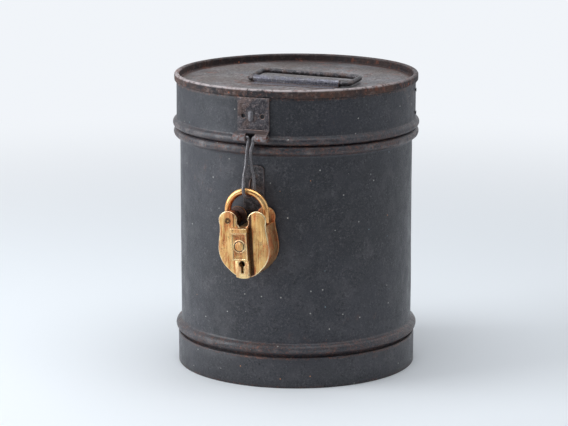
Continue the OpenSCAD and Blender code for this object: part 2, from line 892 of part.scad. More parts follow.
module keyhole() {
    y_rod(key_x, -case_half - 12, plate_t - case_half + 0.5, key_z, 3.2);
    translate([key_x - 1.35, -case_half - 12, key_z - 9.5])
        cube([2.7, 12 + plate_t + 0.5, 9.5]);
}

plaque_x = -1.9;
plaque_w = 16.4;

module keyhole_plaque() {
    back = -case_half - plaque_out;
    color(brass)
        lock_place()
            difference() {
                union() {
                    translate([plaque_x - plaque_w / 2, back, -12.8])
                        cube([plaque_w, plaque_out - eps, 28.6]);
                    translate([plaque_x - plaque_w / 2 - 0.6, back - 0.8, 15])
                        cube([plaque_w + 1.2, plaque_out + 0.8 - eps, 4.6]);
                }
                difference() {
                    translate([plaque_x - plaque_w / 2 + 1.4, back - 1, -11.4])
                        cube([plaque_w - 2.8, 1.6, 25]);
                    y_rod(plaque_x, back - 2, back + 2, 1.5, 6.4);
                }
                difference() {
                    y_rod(plaque_x, back - 2, back + 0.5, 1.5, 5.4);
                    y_rod(plaque_x, back - 2, back + 2, 1.5, 4.6);
                }
            }
}

module keyhole_plate() {
    color(brass)
        lock_place()
            difference() {
                slab(-case_half - keyplate_out, keyplate_out - eps)
                    intersection() {
                        translate([key_x - 7, -40])
                            square([14, 40 - 12.8 - eps]);
                        case_outline(0.4);
                    }
                keyhole();
            }
}

module key_pin() {
    color(dark_brass)
        lock_place()
            y_rod(key_x, -case_half + plate_t + 1, inner_half - eps, key_z, 1.3);
}

lever_pin_x = -13;
lever_pin_z = -2;
lever_t = 2;
lever_pitch = 3.2;
lever_y0 = -4;

module lever_pin() {
    color(dark_brass)
        lock_place()
            y_rod(lever_pin_x, eps - inner_half, inner_half - eps, lever_pin_z, 1.8);
}

module levers() {
    color(brass)
        lock_place()
            for (i = [0:2])
                difference() {
                    slab(lever_y0 + i * lever_pitch, lever_t)
                        union() {
                            translate([lever_pin_x, lever_pin_z])
                                circle(4.2, $fn = 40);
                            translate([lever_pin_x, lever_pin_z - 4.2])
                                square([19, 7.4]);
                            translate([lever_pin_x + 13, lever_pin_z - 6.4])
                                square([6, 4]);
                        }
                    y_rod(lever_pin_x, -case_half, case_half, lever_pin_z, 1.8 + run_fit);
                }
}

module lever_springs() {
    color(dark_brass)
        lock_place()
            for (i = [0:2])
                slab(lever_y0 + i * lever_pitch + 0.6, 0.8)
                    polygon([[-19.6, 9.4], [-14, 9.6], [-6, 6.6], [2, 2], [2, 1.2], [-1, 1.2], [-6, 5.8], [-14, 8.8], [-19.6, 8.6]]);
}

bolt_tip = bow_r - shackle_r - 0.4;
bolt_y = 2.4;
bolt_guide_x = 8.2;
bolt_stem_w = 4;

module bolt_guide() {
    color(dark_brass)
        lock_place()
            difference() {
                slab(eps - inner_half, 2 * (inner_half - eps))
                    translate([bolt_guide_x - 1.8, band_top - 2.8])
                        square([9.6, 2.8]);
                translate([bolt_guide_x - side_gap, -bolt_y - side_gap, 10])
                    cube([bolt_stem_w + bolt_travel + 2 * side_gap, 2 * (bolt_y + side_gap), 20]);
            }
}

// The bolt: a stem through its guide, a shoulder that rests on the guide, and the head that locks the toe
module lock_bolt() {
    stem_z = 9.5;
    shoulder_z = band_top + 0.3;
    head_z = notch_z + side_gap;
    color(dark_brass)
        lock_place()
            union() {
                translate([bolt_guide_x, -bolt_y, head_z])
                    cube([bolt_tip - bolt_guide_x, 2 * bolt_y, notch_h - 2 * side_gap]);
                translate([bolt_guide_x, -bolt_y - 1.5, shoulder_z])
                    cube([bolt_tip - bolt_guide_x - bolt_travel, 2 * bolt_y + 3, head_z - shoulder_z + 0.5]);
                translate([bolt_guide_x, -bolt_y, stem_z])
                    cube([bolt_stem_w, 2 * bolt_y, shoulder_z - stem_z + 0.5]);
            }
}

body_shell();
bottom_disc();
plinth_band();
body_seam_rivets();
staple_plate();
staple();
staple_rivets();
hinge_body_leaf();
hinge_pin();
hinge_body_rivets();
lid_band();
lid_top_panel();
lid_seam_rivets();
hinge_lid_leaf();
hinge_lid_rivets();
handle_sleeve();
handle_rivets();
handle_bail();
hasp_plate();
hasp_rivet();
hasp_link();
shackle();
lock_front_plate();
lock_back_plate();
lock_side_band();
valley_bar();
heel_pin();
case_rivets();
keyhole_plaque();
keyhole_plate();
key_pin();
lever_pin();
levers();
lever_springs();
bolt_guide();
lock_bolt();
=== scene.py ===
import json
from math import atan2, cos, hypot, pi, radians, sin, sqrt

import bmesh
import bpy
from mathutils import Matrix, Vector
from mathutils import noise as lumps

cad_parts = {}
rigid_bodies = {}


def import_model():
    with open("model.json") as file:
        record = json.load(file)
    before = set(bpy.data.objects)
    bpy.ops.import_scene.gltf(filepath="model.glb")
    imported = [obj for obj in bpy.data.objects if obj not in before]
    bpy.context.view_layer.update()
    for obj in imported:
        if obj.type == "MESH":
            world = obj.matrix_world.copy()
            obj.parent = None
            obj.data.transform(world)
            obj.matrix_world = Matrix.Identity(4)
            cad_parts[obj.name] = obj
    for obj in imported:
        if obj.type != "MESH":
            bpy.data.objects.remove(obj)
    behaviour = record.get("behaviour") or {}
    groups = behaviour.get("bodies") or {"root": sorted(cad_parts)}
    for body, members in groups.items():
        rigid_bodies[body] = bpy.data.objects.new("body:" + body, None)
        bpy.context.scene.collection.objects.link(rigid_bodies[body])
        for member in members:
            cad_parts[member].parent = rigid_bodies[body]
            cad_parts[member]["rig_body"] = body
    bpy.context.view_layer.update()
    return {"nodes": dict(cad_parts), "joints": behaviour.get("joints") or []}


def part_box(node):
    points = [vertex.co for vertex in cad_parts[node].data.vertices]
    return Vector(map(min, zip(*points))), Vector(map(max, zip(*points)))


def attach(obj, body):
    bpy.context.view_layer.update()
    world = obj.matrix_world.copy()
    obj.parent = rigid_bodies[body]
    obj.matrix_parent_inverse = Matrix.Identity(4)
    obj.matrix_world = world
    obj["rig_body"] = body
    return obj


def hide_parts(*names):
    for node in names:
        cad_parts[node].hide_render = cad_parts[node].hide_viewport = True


bl_info = {
    "name": "Round Tin Trunk",
    "version": (1, 0, 0),
    "blender": (4, 5, 0),
    "location": "View3D > Sidebar > Tin Trunk",
    "description": "Dresses a small round tin trunk with its hasp and padlock",
    "category": "Add Mesh",
}

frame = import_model()
NODES = frame["nodes"]
MM = 0.001

# The camera, fitted to the photograph
PHOTO_WIDTH = 568.0
FOCAL_PIXELS = 2500.0
SENSOR_MM = 36.0
VIEW_TURN = radians(20.3)
VIEW_PITCH = radians(12.07)
VIEW_REACH = 2.543
VIEW_HEIGHT = 0.698

# How far the padlock hangs off plumb
LOCK_LEAN = radians(3.4)

# Edges that turn more than SHARP are rounded, and short ones by this share of the full width
SHARP = radians(28)
SHORT_EDGE_SHARE = 0.15

# Ridges of the sheet that are rusted through, as (height, half width, strength)
DRUM_RIDGES = [(0.2427, 0.0042, 0.95), (0.0392, 0.0048, 0.80), (0.0318, 0.0016, 0.9), (0.0, 0.0016, 0.5)]
PLINTH_RIDGES = [(0.0312, 0.0014, 1.0), (0.0, 0.0018, 0.8)]
LID_RIDGES = [(0.2485, 0.0016, 0.8), (0.2522, 0.0040, 0.45), (0.2955, 0.0020, 1.0)]

# Dark marks on the padlock's front, from its middle line and the bow's centre. The first band is a painted shadow of
# the plaque on the plate, the second a dark line along the plaque's left edge, and the rings are dark stains.
# Bands are (from, to, strength), and rings are (across, along, radius, half width).
CASE_SHADE_AND_GRIME = [(0.0062, 0.0112, 0.95), (-0.0092, -0.0072, 0.75)]
RIVET_RING = (-0.0152, -0.0073, 0.0019, 0.0013)
PLAQUE_RING = (-0.0019, -0.0315, 0.0050, 0.0005)


# Sizes and colours

class TrunkSizes(bpy.types.PropertyGroup):
    """Sizes of the trunk's sheet and wire, which follow the frame's pieces"""

    drum_radius: bpy.props.FloatProperty(
        name="Drum radius", description="Radius of the drum's plain wall", unit="LENGTH", default=0.120)
    sheet: bpy.props.FloatProperty(
        name="Sheet", description="Thickness of the sheet", unit="LENGTH", precision=4, default=0.0008)
    dent: bpy.props.FloatProperty(
        name="Dents", description="Depth of the shallow dents in the sheet", unit="LENGTH", precision=4,
        default=0.0006)
    wire_lump: bpy.props.FloatProperty(
        name="Wire lumps", description="Depth of the rust lumps on the wire", unit="LENGTH", precision=5,
        default=0.00022)
    round_steps: bpy.props.IntProperty(
        name="Steps round", description="Faces round the drum", default=300, min=48)


class TrunkColours(bpy.types.PropertyGroup):
    """Colours of the trunk's finishes, as linear values"""

    def colour(name, value):
        return bpy.props.FloatVectorProperty(name=name, description=name, subtype="COLOR", size=3,
                                             default=value, min=0.0, max=1.0)

    paint: colour("Black paint", (0.028, 0.029, 0.038))
    paint_dark: colour("Darker paint", (0.016, 0.017, 0.022))
    paint_dust: colour("Dust on the paint", (0.100, 0.096, 0.103))
    top_dust: colour("Dust on the lid's top", (0.262, 0.245, 0.250))
    rust: colour("Rust", (0.100, 0.060, 0.048))
    rust_red: colour("Red rust", (0.235, 0.078, 0.046))
    rust_pale: colour("Rubbed rust", (0.190, 0.140, 0.125))
    iron: colour("Dark iron", (0.036, 0.033, 0.036))
    iron_light: colour("Rubbed iron", (0.130, 0.122, 0.128))
    iron_pale: colour("Bright iron", (0.300, 0.290, 0.300))
    brass: colour("Brass", (0.78, 0.44, 0.145))
    brass_red: colour("Copper stain", (0.60, 0.185, 0.068))
    brass_pale: colour("Rubbed brass", (0.92, 0.68, 0.33))
    brass_dark: colour("Tarnish", (0.12, 0.055, 0.026))
    floor: colour("Floor", (0.86, 0.87, 0.88))


class Tint:
    """Fixed tints of stains, wear and specks, and of painted shade and painted highlights, as linear values"""

    dark_tone = (0.005, 0.005, 0.007)
    pale_speck = (0.42, 0.41, 0.38)
    bright_speck = (0.66, 0.62, 0.54)
    blue_speck = (0.20, 0.30, 0.34)
    orange_speck = (0.50, 0.22, 0.09)
    black_speck = (0.010, 0.010, 0.012)
    top_brown = (0.105, 0.072, 0.055)
    top_rust = (0.085, 0.048, 0.036)
    top_blot = (0.085, 0.052, 0.042)
    top_ash = (0.25, 0.24, 0.24)
    top_grit = (0.30, 0.28, 0.26)
    top_shade = (0.040, 0.034, 0.031)
    top_speck = (0.45, 0.43, 0.40)
    top_red_speck = (0.34, 0.11, 0.06)
    handle_rust = (0.075, 0.038, 0.026)
    corner_rust = (0.085, 0.042, 0.031)
    rim_grit = (0.26, 0.23, 0.22)
    rim_shade = (0.018, 0.014, 0.013)
    # Painted shade on the rim's far side
    rim_far_shade = (0.022, 0.019, 0.021)
    # Painted highlight on the rim's front top edge, over rubbed wear
    rim_rubbed_highlight = (0.50, 0.43, 0.42)
    iron_shade = (0.010, 0.008, 0.008)
    iron_speck = (0.34, 0.33, 0.32)
    sleeve = (0.125, 0.120, 0.150)
    hasp = (0.044, 0.038, 0.044)
    # Rusty edges lightened as a painted highlight
    brown_highlight_edge = (0.30, 0.19, 0.155)
    red_edge = (0.24, 0.105, 0.07)
    pale_rivet = (0.21, 0.20, 0.215)
    link = (0.17, 0.16, 0.165)
    # Painted shadow beside the plaque, and dark stains, on the lock's front
    shade_and_grime = (0.022, 0.012, 0.008)
    shade_and_grime_brown = (0.085, 0.036, 0.018)
    ring_dirt = (0.055, 0.026, 0.014)
    bow = (0.84, 0.42, 0.15)
    bow_inside = (0.62, 0.15, 0.045)
    hub_shade_and_soot = (0.030, 0.018, 0.014)
    # Painted shade, with sooty stains, on the hub between the plates
    hub_brown = (0.115, 0.065, 0.045)
    # Pale brass for the edges, rubbed and with a painted highlight
    edge_highlight_brass = (0.96, 0.80, 0.50)
    side_brass = (0.60, 0.27, 0.10)


def sizes():
    """The sizes that the user can change"""
    return bpy.context.scene.trunk_sizes


def colours():
    """The colours that the user can change"""
    return bpy.context.scene.trunk_colours


# Places that the pieces share, from the frame

def joint(name):
    return next(j for j in frame["joints"] if j["name"] == name)


def joint_point(name):
    return Vector(joint(name)["pos_m"])


# Node trees of the finishes

class NodeTree:
    """Adds nodes to a tree and joins them"""

    def __init__(self, tree):
        self.tree = tree

    def add(self, kind, **settings):
        made = self.tree.nodes.new(kind)
        for key, value in settings.items():
            setattr(made, key, value)
        return made

    def join(self, source, target):
        self.tree.links.new(source, target)

    def feed(self, target, value):
        """Joins a socket to the target, or sets the target to a number or colour"""
        if isinstance(value, bpy.types.NodeSocket):
            self.join(value, target)
        elif isinstance(value, (int, float)):
            target.default_value = value
        else:
            value = tuple(value)
            target.default_value = value + (1.0,) if target.type == "RGBA" and len(value) == 3 else value

    def math(self, operation, a, b=0.0, clamp=False):
        made = self.add("ShaderNodeMath", operation=operation, use_clamp=clamp)
        self.feed(made.inputs[0], a)
        self.feed(made.inputs[1], b)
        return made.outputs[0]

    def plus(self, a, b):
        return self.math("ADD", a, b)

    def minus(self, a, b):
        return self.math("SUBTRACT", a, b)

    def times(self, a, b, clamp=False):
        return self.math("MULTIPLY", a, b, clamp)

    def length(self, a, b):
        """The long side of the right triangle with sides a and b"""
        return self.math("SQRT", self.plus(self.times(a, a), self.times(b, b)))

    def step(self, value, low, high, to_low=0.0, to_high=1.0):
        """A soft step from to_low, where value is low, to to_high, where it is high"""
        made = self.add("ShaderNodeMapRange", interpolation_type="SMOOTHSTEP")
        self.feed(made.inputs["Value"], value)
        made.inputs["From Min"].default_value = low
        made.inputs["From Max"].default_value = high
        made.inputs["To Min"].default_value = to_low
        made.inputs["To Max"].default_value = to_high
        return made.outputs["Result"]

    def band(self, value, middle, low, high, most=1.0):
        """Most where value lies within low of middle, and 0 where it is further than high from it"""
        return self.step(self.math("ABSOLUTE", self.minus(value, middle)), low, high, most, 0.0)

    def blend(self, share, first, second):
        made = self.add("ShaderNodeMix", data_type="RGBA")
        self.feed(made.inputs["Factor"], share)
        self.feed(made.inputs["A"], first)
        self.feed(made.inputs["B"], second)
        return made.outputs["Result"]

    def stain(self, colour, pattern, low, high, most, tint):
        """Lays a tint over a colour, from nothing where the pattern is low to most where it is high"""
        return self.blend(self.step(pattern, low, high, 0.0, most), colour, tint)


class Finish(NodeTree):
    """Builds one procedural material on the trunk's own coordinates"""

    def __init__(self, name, metallic=0.0, specular=0.5):
        self.material = bpy.data.materials.new(name)
        self.material.use_nodes = True
        super().__init__(self.material.node_tree)
        self.tree.nodes.clear()
        self.shader = self.add("ShaderNodeBsdfPrincipled")
        self.shader.inputs["Metallic"].default_value = metallic
        self.shader.inputs["Specular IOR Level"].default_value = specular
        self.output = self.add("ShaderNodeOutputMaterial")
        self.join(self.shader.outputs["BSDF"], self.output.inputs["Surface"])
        self.place = self.add("ShaderNodeTexCoord").outputs["Object"]
        self.normal = None

    def stretched(self, scale, turn):
        made = self.add("ShaderNodeMapping")
        self.feed(made.inputs["Vector"], self.place)
        made.inputs["Scale"].default_value = scale
        made.inputs["Rotation"].default_value = turn
        return made.outputs["Vector"]

    def noise(self, scale, detail=4.0, roughness=0.55, place=None, distortion=0.0):
        made = self.add("ShaderNodeTexNoise")
        self.feed(made.inputs["Vector"], place or self.place)
        made.inputs["Scale"].default_value = scale
        made.inputs["Detail"].default_value = detail
        made.inputs["Roughness"].default_value = roughness
        made.inputs["Distortion"].default_value = distortion
        return made.outputs["Fac"]

    def axis(self, name):
        made = self.add("ShaderNodeSeparateXYZ")
        self.feed(made.inputs[0], self.place)
        return made.outputs[name]

    def radius(self):
        return self.length(self.axis("X"), self.axis("Y"))

    def across_lock(self):
        """Distance across the padlock's front from its middle line, in metres"""
        pivot = joint_point("lock_swing")
        x = self.times(self.minus(self.axis("X"), pivot.x), cos(LOCK_LEAN))
        return self.plus(x, self.times(self.minus(self.axis("Z"), pivot.z), sin(LOCK_LEAN)))

    def along_lock(self):
        """Distance up the padlock's middle line from the bow's centre, in metres"""
        pivot = joint_point("lock_swing")
        z = self.times(self.minus(self.axis("Z"), pivot.z), cos(LOCK_LEAN))
        return self.minus(z, self.times(self.minus(self.axis("X"), pivot.x), sin(LOCK_LEAN)))

    def specks(self, colour, *kinds):
        """Scattered specks. Each kind is (scale, size, share of the cells that hold one, tint)"""
        for scale, size, share, tint in kinds:
            cells = self.add("ShaderNodeTexVoronoi")
            self.feed(cells.inputs["Vector"], self.place)
            cells.inputs["Scale"].default_value = scale
            pick = self.add("ShaderNodeSeparateColor")
            self.feed(pick.inputs[0], cells.outputs["Color"])
            chosen = self.math("GREATER_THAN", pick.outputs[0], 1.0 - share)
            dot = self.step(cells.outputs["Distance"], size * 0.5, size, 1.0, 0.0)
            colour = self.blend(self.times(chosen, dot), colour, tint)
        return colour

    def bump(self, height, depth, strength):
        """Lays a relief over the ones before it"""
        made = self.add("ShaderNodeBump")
        made.inputs["Strength"].default_value = strength
        made.inputs["Distance"].default_value = depth
        self.feed(made.inputs["Height"], height)
        if self.normal is not None:
            self.feed(made.inputs["Normal"], self.normal)
        self.normal = made.outputs["Normal"]

    def done(self, colour, roughness):
        """Feeds the shader and returns the material"""
        self.feed(self.shader.inputs["Base Color"], colour)
        self.feed(self.shader.inputs["Roughness"], roughness)
        if self.normal is not None:
            self.join(self.normal, self.shader.inputs["Normal"])
        return self.material


def painted_tin(name, ridges, rub=0.1253, pale=0.0):
    """Worn black paint on tin, rusted through along the given ridges.

    Beyond the radius rub, the paint is rubbed to bare metal. Pale is the share of dust on the paint."""
    hue = colours()
    finish = Finish(name)
    times = finish.times
    broad = finish.noise(9.0, 3.0, 0.55)
    patch = finish.noise(42.0, 6.0, 0.66)
    grain = finish.noise(430.0, 5.0, 0.75)
    fine = finish.noise(1000.0, 3.0, 0.7)
    rusting = finish.noise(95.0, 6.0, 0.70)
    fine_rust = finish.noise(420.0, 4.0, 0.7)
    # The paint, its dust and its grain
    colour = finish.blend(finish.step(broad, 0.35, 0.65), hue.paint_dark, hue.paint)
    colour = finish.blend(pale, colour, hue.paint_dust)
    colour = finish.stain(colour, patch, 0.46, 0.74, 0.45, hue.paint_dust)
    spotty = finish.step(finish.noise(55.0, 4.0, 0.6), 0.38, 0.62, 0.25, 1.0)
    colour = finish.blend(times(finish.step(grain, 0.525, 0.64, 0.0, 0.75), spotty), colour, hue.paint_dust)
    colour = finish.blend(times(finish.step(grain, 0.47, 0.36, 0.0, 0.9), spotty), colour, Tint.dark_tone)
    colour = finish.stain(colour, fine, 0.56, 0.66, 0.5, hue.iron_light)
    # Thin scratches
    streak = finish.noise(7.0, 2.0, 0.5, finish.stretched((14, 14, 3), (0.2, 0.1, 0.3)))
    worn = times(finish.band(streak, 0.5, 0.0, 0.005), finish.step(finish.noise(16.0), 0.5, 0.66))
    colour = finish.blend(times(worn, 0.6), colour, hue.iron_light)
    # Rust in patches and along the ridges
    height = finish.axis("Z")
    total = finish.step(times(rusting, finish.step(broad, 0.3, 0.7)), 0.50, 0.62, 0.0, 0.4)
    for middle, half, strength in ridges:
        near = finish.band(height, middle, half, half * 1.7)
        broken = finish.plus(finish.step(rusting, 0.40, 0.62, 0.0, 0.6), finish.step(fine_rust, 0.50, 0.66, 0.0, 0.6))
        total = finish.math("MAXIMUM", total, times(times(near, broken), strength))
    rust = finish.blend(finish.step(patch, 0.42, 0.62), hue.rust, hue.iron)
    rust = finish.stain(rust, fine_rust, 0.50, 0.64, 0.8, hue.rust_red)
    rust = finish.stain(rust, grain, 0.54, 0.70, 0.7, hue.rust_pale)
    colour = finish.blend(total, colour, rust)
    # Bare metal on what stands out furthest
    patchy = times(finish.step(patch, 0.44, 0.58), finish.step(rusting, 0.42, 0.56))
    bare = times(finish.step(finish.radius(), rub - 0.0007, rub + 0.0006), patchy)
    metal = finish.blend(finish.step(fine_rust, 0.42, 0.62), hue.iron_light, hue.rust_pale)
    colour = finish.blend(bare, colour, metal)
    colour = finish.specks(colour, (105.0, 0.10, 0.40, Tint.pale_speck), (80.0, 0.066, 0.36, Tint.bright_speck),
                           (88.0, 0.075, 0.12, Tint.blue_speck), (71.0, 0.060, 0.20, Tint.orange_speck),
                           (130.0, 0.14, 0.30, Tint.black_speck))
    finish.bump(fine, 0.00014, 0.5)
    finish.bump(grain, 0.00045, 0.5)
    finish.bump(finish.noise(150.0, 4.0, 0.6), 0.0007, 0.4)
    finish.bump(times(total, fine_rust), 0.0007, 0.7)
    rough = finish.step(finish.noise(60.0, 5.0, 0.6), 0.3, 0.7, 0.34, 0.50)
    return finish.done(colour, finish.minus(rough, times(total, 0.06)))


def lid_top_paint(name):
    """The lid's top: dusty warm grey, browner towards the handle, with painted shade at its far side, and a rusted
    rim with a painted highlight on its front top edge
    """
    hue = colours()
    finish = Finish(name, specular=0.12)
    times = finish.times
    radius = finish.radius()
    patch = finish.noise(26.0, 7.0, 0.70)
    broad = finish.noise(11.0, 4.0, 0.55)
    grain = finish.noise(420.0, 5.0, 0.75)
    fine = finish.noise(170.0, 5.0, 0.72)
    # The panel's dust and stains, and painted shade on its far side
    dust = finish.blend(finish.step(patch, 0.38, 0.62), hue.paint_dust, hue.top_dust)
    dust = finish.stain(dust, broad, 0.46, 0.66, 0.65, Tint.top_brown)
    dust = finish.stain(dust, fine, 0.53, 0.63, 0.65, Tint.top_rust)
    dust = finish.stain(dust, finish.noise(48.0, 6.0, 0.7), 0.55, 0.66, 0.7, Tint.top_blot)
    dust = finish.stain(dust, finish.noise(37.0, 6.0, 0.7), 0.56, 0.68, 0.7, Tint.top_ash)
    dust = finish.stain(dust, grain, 0.51, 0.62, 0.6, Tint.top_grit)
    dust = finish.stain(dust, grain, 0.48, 0.38, 0.65, Tint.top_shade)
    # Painted shade: the far side of the panel darkens towards dark iron
    dust = finish.stain(dust, finish.axis("Y"), 0.055, 0.125, 0.6, hue.iron)
    # Rust round the handle's left end, and in the corner under the rim
    handle = joint_point("bail_swing")
    left_end = handle.x - 0.042
    away = finish.length(finish.minus(finish.axis("X"), left_end), finish.minus(finish.axis("Y"), handle.y))
    near = times(finish.step(away, 0.045, 0.010), finish.step(fine, 0.38, 0.60))
    dust = finish.blend(times(near, 0.9), dust, Tint.handle_rust)
    dust = finish.stain(dust, finish.plus(radius, times(patch, 0.012)), 0.1190, 0.1245, 0.8, Tint.corner_rust)
    # The rolled rim, rubbed at its top edge, with a painted highlight there that is strongest at its front
    rim = finish.blend(finish.step(patch, 0.42, 0.6), hue.iron, hue.rust)
    rim = finish.stain(rim, fine, 0.50, 0.66, 0.75, hue.rust_pale)
    rim = finish.stain(rim, finish.noise(210.0, 5.0, 0.7), 0.55, 0.68, 0.8, hue.rust_red)
    rim = finish.stain(rim, grain, 0.54, 0.74, 0.6, Tint.rim_grit)
    rim = finish.stain(rim, grain, 0.46, 0.30, 0.6, Tint.rim_shade)
    # Painted shade on the rim's far side
    rim = finish.stain(rim, finish.axis("Y"), -0.02, 0.07, 0.65, Tint.rim_far_shade)
    # Painted highlight along the rim's top edge, strongest at the front, over rubbed wear
    worn = times(finish.step(finish.axis("Z"), 0.3013, 0.3028), finish.step(fine, 0.34, 0.52))
    front = finish.step(finish.axis("Y"), 0.03, -0.12, 0.1, 1.0)
    rim = finish.blend(times(worn, front), rim, Tint.rim_rubbed_highlight)
    edge = finish.step(finish.plus(radius, times(patch, 0.010)), 0.1205, 0.1255)
    colour = finish.blend(edge, dust, rim)
    colour = finish.stain(colour, finish.noise(75.0, 6.0, 0.72), 0.57, 0.66, 0.55, hue.rust_red)
    colour = finish.specks(colour, (60.0, 0.07, 0.35, Tint.top_speck), (80.0, 0.10, 0.45, Tint.top_red_speck))
    finish.bump(grain, 0.0004, 0.5)
    finish.bump(fine, 0.0008, 0.5)
    return finish.done(colour, finish.step(patch, 0.3, 0.7, 0.42, 0.66))


def rusted_iron(name, brown, light, metallic=0.5, fleck=0.5, body=None, polish=0.0, low=None):
    """Dark wrought iron with brown rust, rubbed lighter on its high spots and flecked.

    Brown, light and fleck are how much there is of each. Polish is taken off the roughness. What lies
    below the height low takes a painted highlight of pale iron and red rust."""
    hue = colours()
    finish = Finish(name, metallic)
    blotch = finish.noise(230.0, 6.0, 0.72)
    fine = finish.noise(620.0, 5.0, 0.75)
    broad = finish.noise(85.0, 4.0, 0.6)
    colour = finish.stain(body or hue.iron, blotch, 0.44, 0.60, light, hue.iron_light)
    colour = finish.stain(colour, broad, 0.66 - brown * 0.4, 0.80 - brown * 0.4, 0.5 + brown * 0.5, hue.rust)
    spots = finish.times(finish.step(fine, 0.50, 0.66), finish.step(blotch, 0.44, 0.58, 0.0, brown))
    colour = finish.blend(spots, colour, hue.rust_red)
    colour = finish.stain(colour, fine, 0.54, 0.64, 1.2 * light * fleck, hue.iron_pale)
    colour = finish.stain(colour, fine, 0.46, 0.36, 1.2 * fleck, Tint.iron_shade)
    if low:
        # Painted highlight on the barrels below the height low, pale iron and red rust
        rubbed = finish.blend(finish.step(finish.noise(330.0, 5.0, 0.7), 0.46, 0.58), hue.iron_pale, hue.rust_red)
        below = finish.times(finish.step(finish.axis("Z"), low, low - 0.0012),
                             finish.step(blotch, 0.40, 0.60, 0.45, 0.95))
        colour = finish.blend(below, colour, rubbed)
    colour = finish.specks(colour, (230.0, 0.13, 0.15, Tint.iron_speck))
    finish.bump(blotch, 0.0009, 0.6)
    finish.bump(fine, 0.0003, 0.6)
    return finish.done(colour, finish.step(blotch, 0.3, 0.7, 0.32 - polish, 0.60 - polish))


def old_brass(name, body, stain=0.5, dark=0.15, roughness=0.36, low_face=None, shade_and_grime=(), copper=0.5, ring=None):
    """Old brass brushed along the lock, with red stains, pale rubbed spots and dark tarnish.

    Stain, dark and copper are the strengths of the red stains, the tarnish and the broad red patches. Where
    low_face is given, what lies behind that y is stained. The bands on the lock's front are a painted shadow beside
    the plaque and a dark line at its other edge, and ring is a dark stain there."""
    hue = colours()
    finish = Finish(name, metallic=0.85)
    times = finish.times
    lean = (0.0, -LOCK_LEAN, 0.0)
    brushed = finish.noise(17.0, 6.0, 0.68, finish.stretched((60, 60, 3.5), lean))
    hair = finish.noise(60.0, 4.0, 0.68, finish.stretched((60, 60, 3.5), lean))
    wide = finish.noise(26.0, 6.0, 0.66, finish.stretched((3.2, 3.2, 1.3), lean), 0.6)
    blotch = finish.noise(85.0, 6.0, 0.66)
    fine = finish.noise(560.0, 5.0, 0.72)
    colour = finish.stain(body, brushed, 0.42, 0.64, 0.6, hue.brass_pale)
    colour = finish.stain(colour, wide, 0.51, 0.60, copper, hue.brass_red)
    red = times(finish.step(brushed, 0.53, 0.40), finish.step(blotch, 0.40, 0.56))
    colour = finish.blend(times(red, stain * 1.8, clamp=True), colour, hue.brass_red)
    colour = finish.stain(colour, blotch, 0.58, 0.68, stain, hue.brass_red)
    tarnish = times(finish.step(fine, 0.54, 0.66), finish.step(blotch, 0.42, 0.60))
    colour = finish.blend(times(tarnish, dark * 4.0, clamp=True), colour, hue.brass_dark)
    colour = finish.stain(colour, hair, 0.40, 0.33, 0.75, hue.brass_dark)
    if low_face:
        sunk = finish.step(finish.axis("Y"), low_face - 0.0004, low_face - 0.0001)
        shade = finish.blend(finish.step(fine, 0.42, 0.6), hue.brass_dark, hue.brass_red)
        colour = finish.blend(times(sunk, finish.step(blotch, 0.38, 0.62, 0.25, 0.9)), colour, shade)
    # Dark bands across the lock's front: a painted shadow right of the plaque, and a dark line at its left edge
    for start, end, strength in shade_and_grime:
        across = finish.plus(finish.across_lock(), times(blotch, 0.0012))
        inside = times(finish.step(across, start, start + 0.0003), finish.step(across, end - 0.0012, end, 1.0, 0.0))
        shadow_and_stain_colour = finish.blend(finish.step(fine, 0.45, 0.62), Tint.shade_and_grime, Tint.shade_and_grime_brown)
        colour = finish.blend(times(inside, strength), colour, shadow_and_stain_colour)
    if ring:
        across, along, radius, half = ring
        away = finish.length(finish.minus(finish.across_lock(), across), finish.minus(finish.along_lock(), along))
        colour = finish.blend(finish.band(away, radius, half * 0.6, half * 1.4, 0.9), colour, Tint.ring_dirt)
    finish.bump(hair, 0.00025, 0.5)
    finish.bump(blotch, 0.0007, 0.35)
    finish.bump(fine, 0.00018, 0.5)
    return finish.done(colour, finish.step(blotch, 0.3, 0.7, roughness - 0.08, roughness + 0.12))


def old_shackle(name):
    """Smooth orange brass, pale where it is rubbed, red inside its bow, with painted shade and sooty stains at its
    hub between the plates, and dark in a few pits
    """
    hue = colours()
    finish = Finish(name, metallic=0.85)
    times = finish.times
    blotch = finish.noise(120.0, 5.0, 0.6)
    fine = finish.noise(600.0, 4.0, 0.7)
    colour = finish.stain(Tint.bow, blotch, 0.42, 0.66, 0.55, hue.brass_pale)
    pivot = joint_point("lock_swing")
    away = finish.length(finish.minus(finish.axis("X"), pivot.x), finish.minus(finish.axis("Z"), pivot.z))
    inside = finish.step(finish.plus(away, times(blotch, 0.0016)), 0.0188, 0.0202, 1.0, 0.0)
    colour = finish.blend(times(inside, 0.85), colour, Tint.bow_inside)
    colour = finish.stain(colour, finish.noise(70.0, 5.0, 0.7), 0.58, 0.66, 0.6, hue.brass_red)
    # Painted shade, with sooty stains, on the hub between the plates
    hub = times(finish.step(finish.along_lock(), 0.0015, -0.0005), finish.step(finish.across_lock(), -0.003, -0.005))
    dark_tone = finish.blend(finish.step(blotch, 0.42, 0.60), Tint.hub_shade_and_soot, Tint.hub_brown)
    colour = finish.blend(times(hub, 0.92), colour, dark_tone)
    pits = times(finish.step(fine, 0.60, 0.68), finish.step(blotch, 0.50, 0.60))
    colour = finish.blend(times(pits, 0.8), colour, hue.brass_dark)
    finish.bump(blotch, 0.0005, 0.3)
    finish.bump(fine, 0.00012, 0.4)
    return finish.done(colour, finish.step(blotch, 0.3, 0.7, 0.20, 0.34))


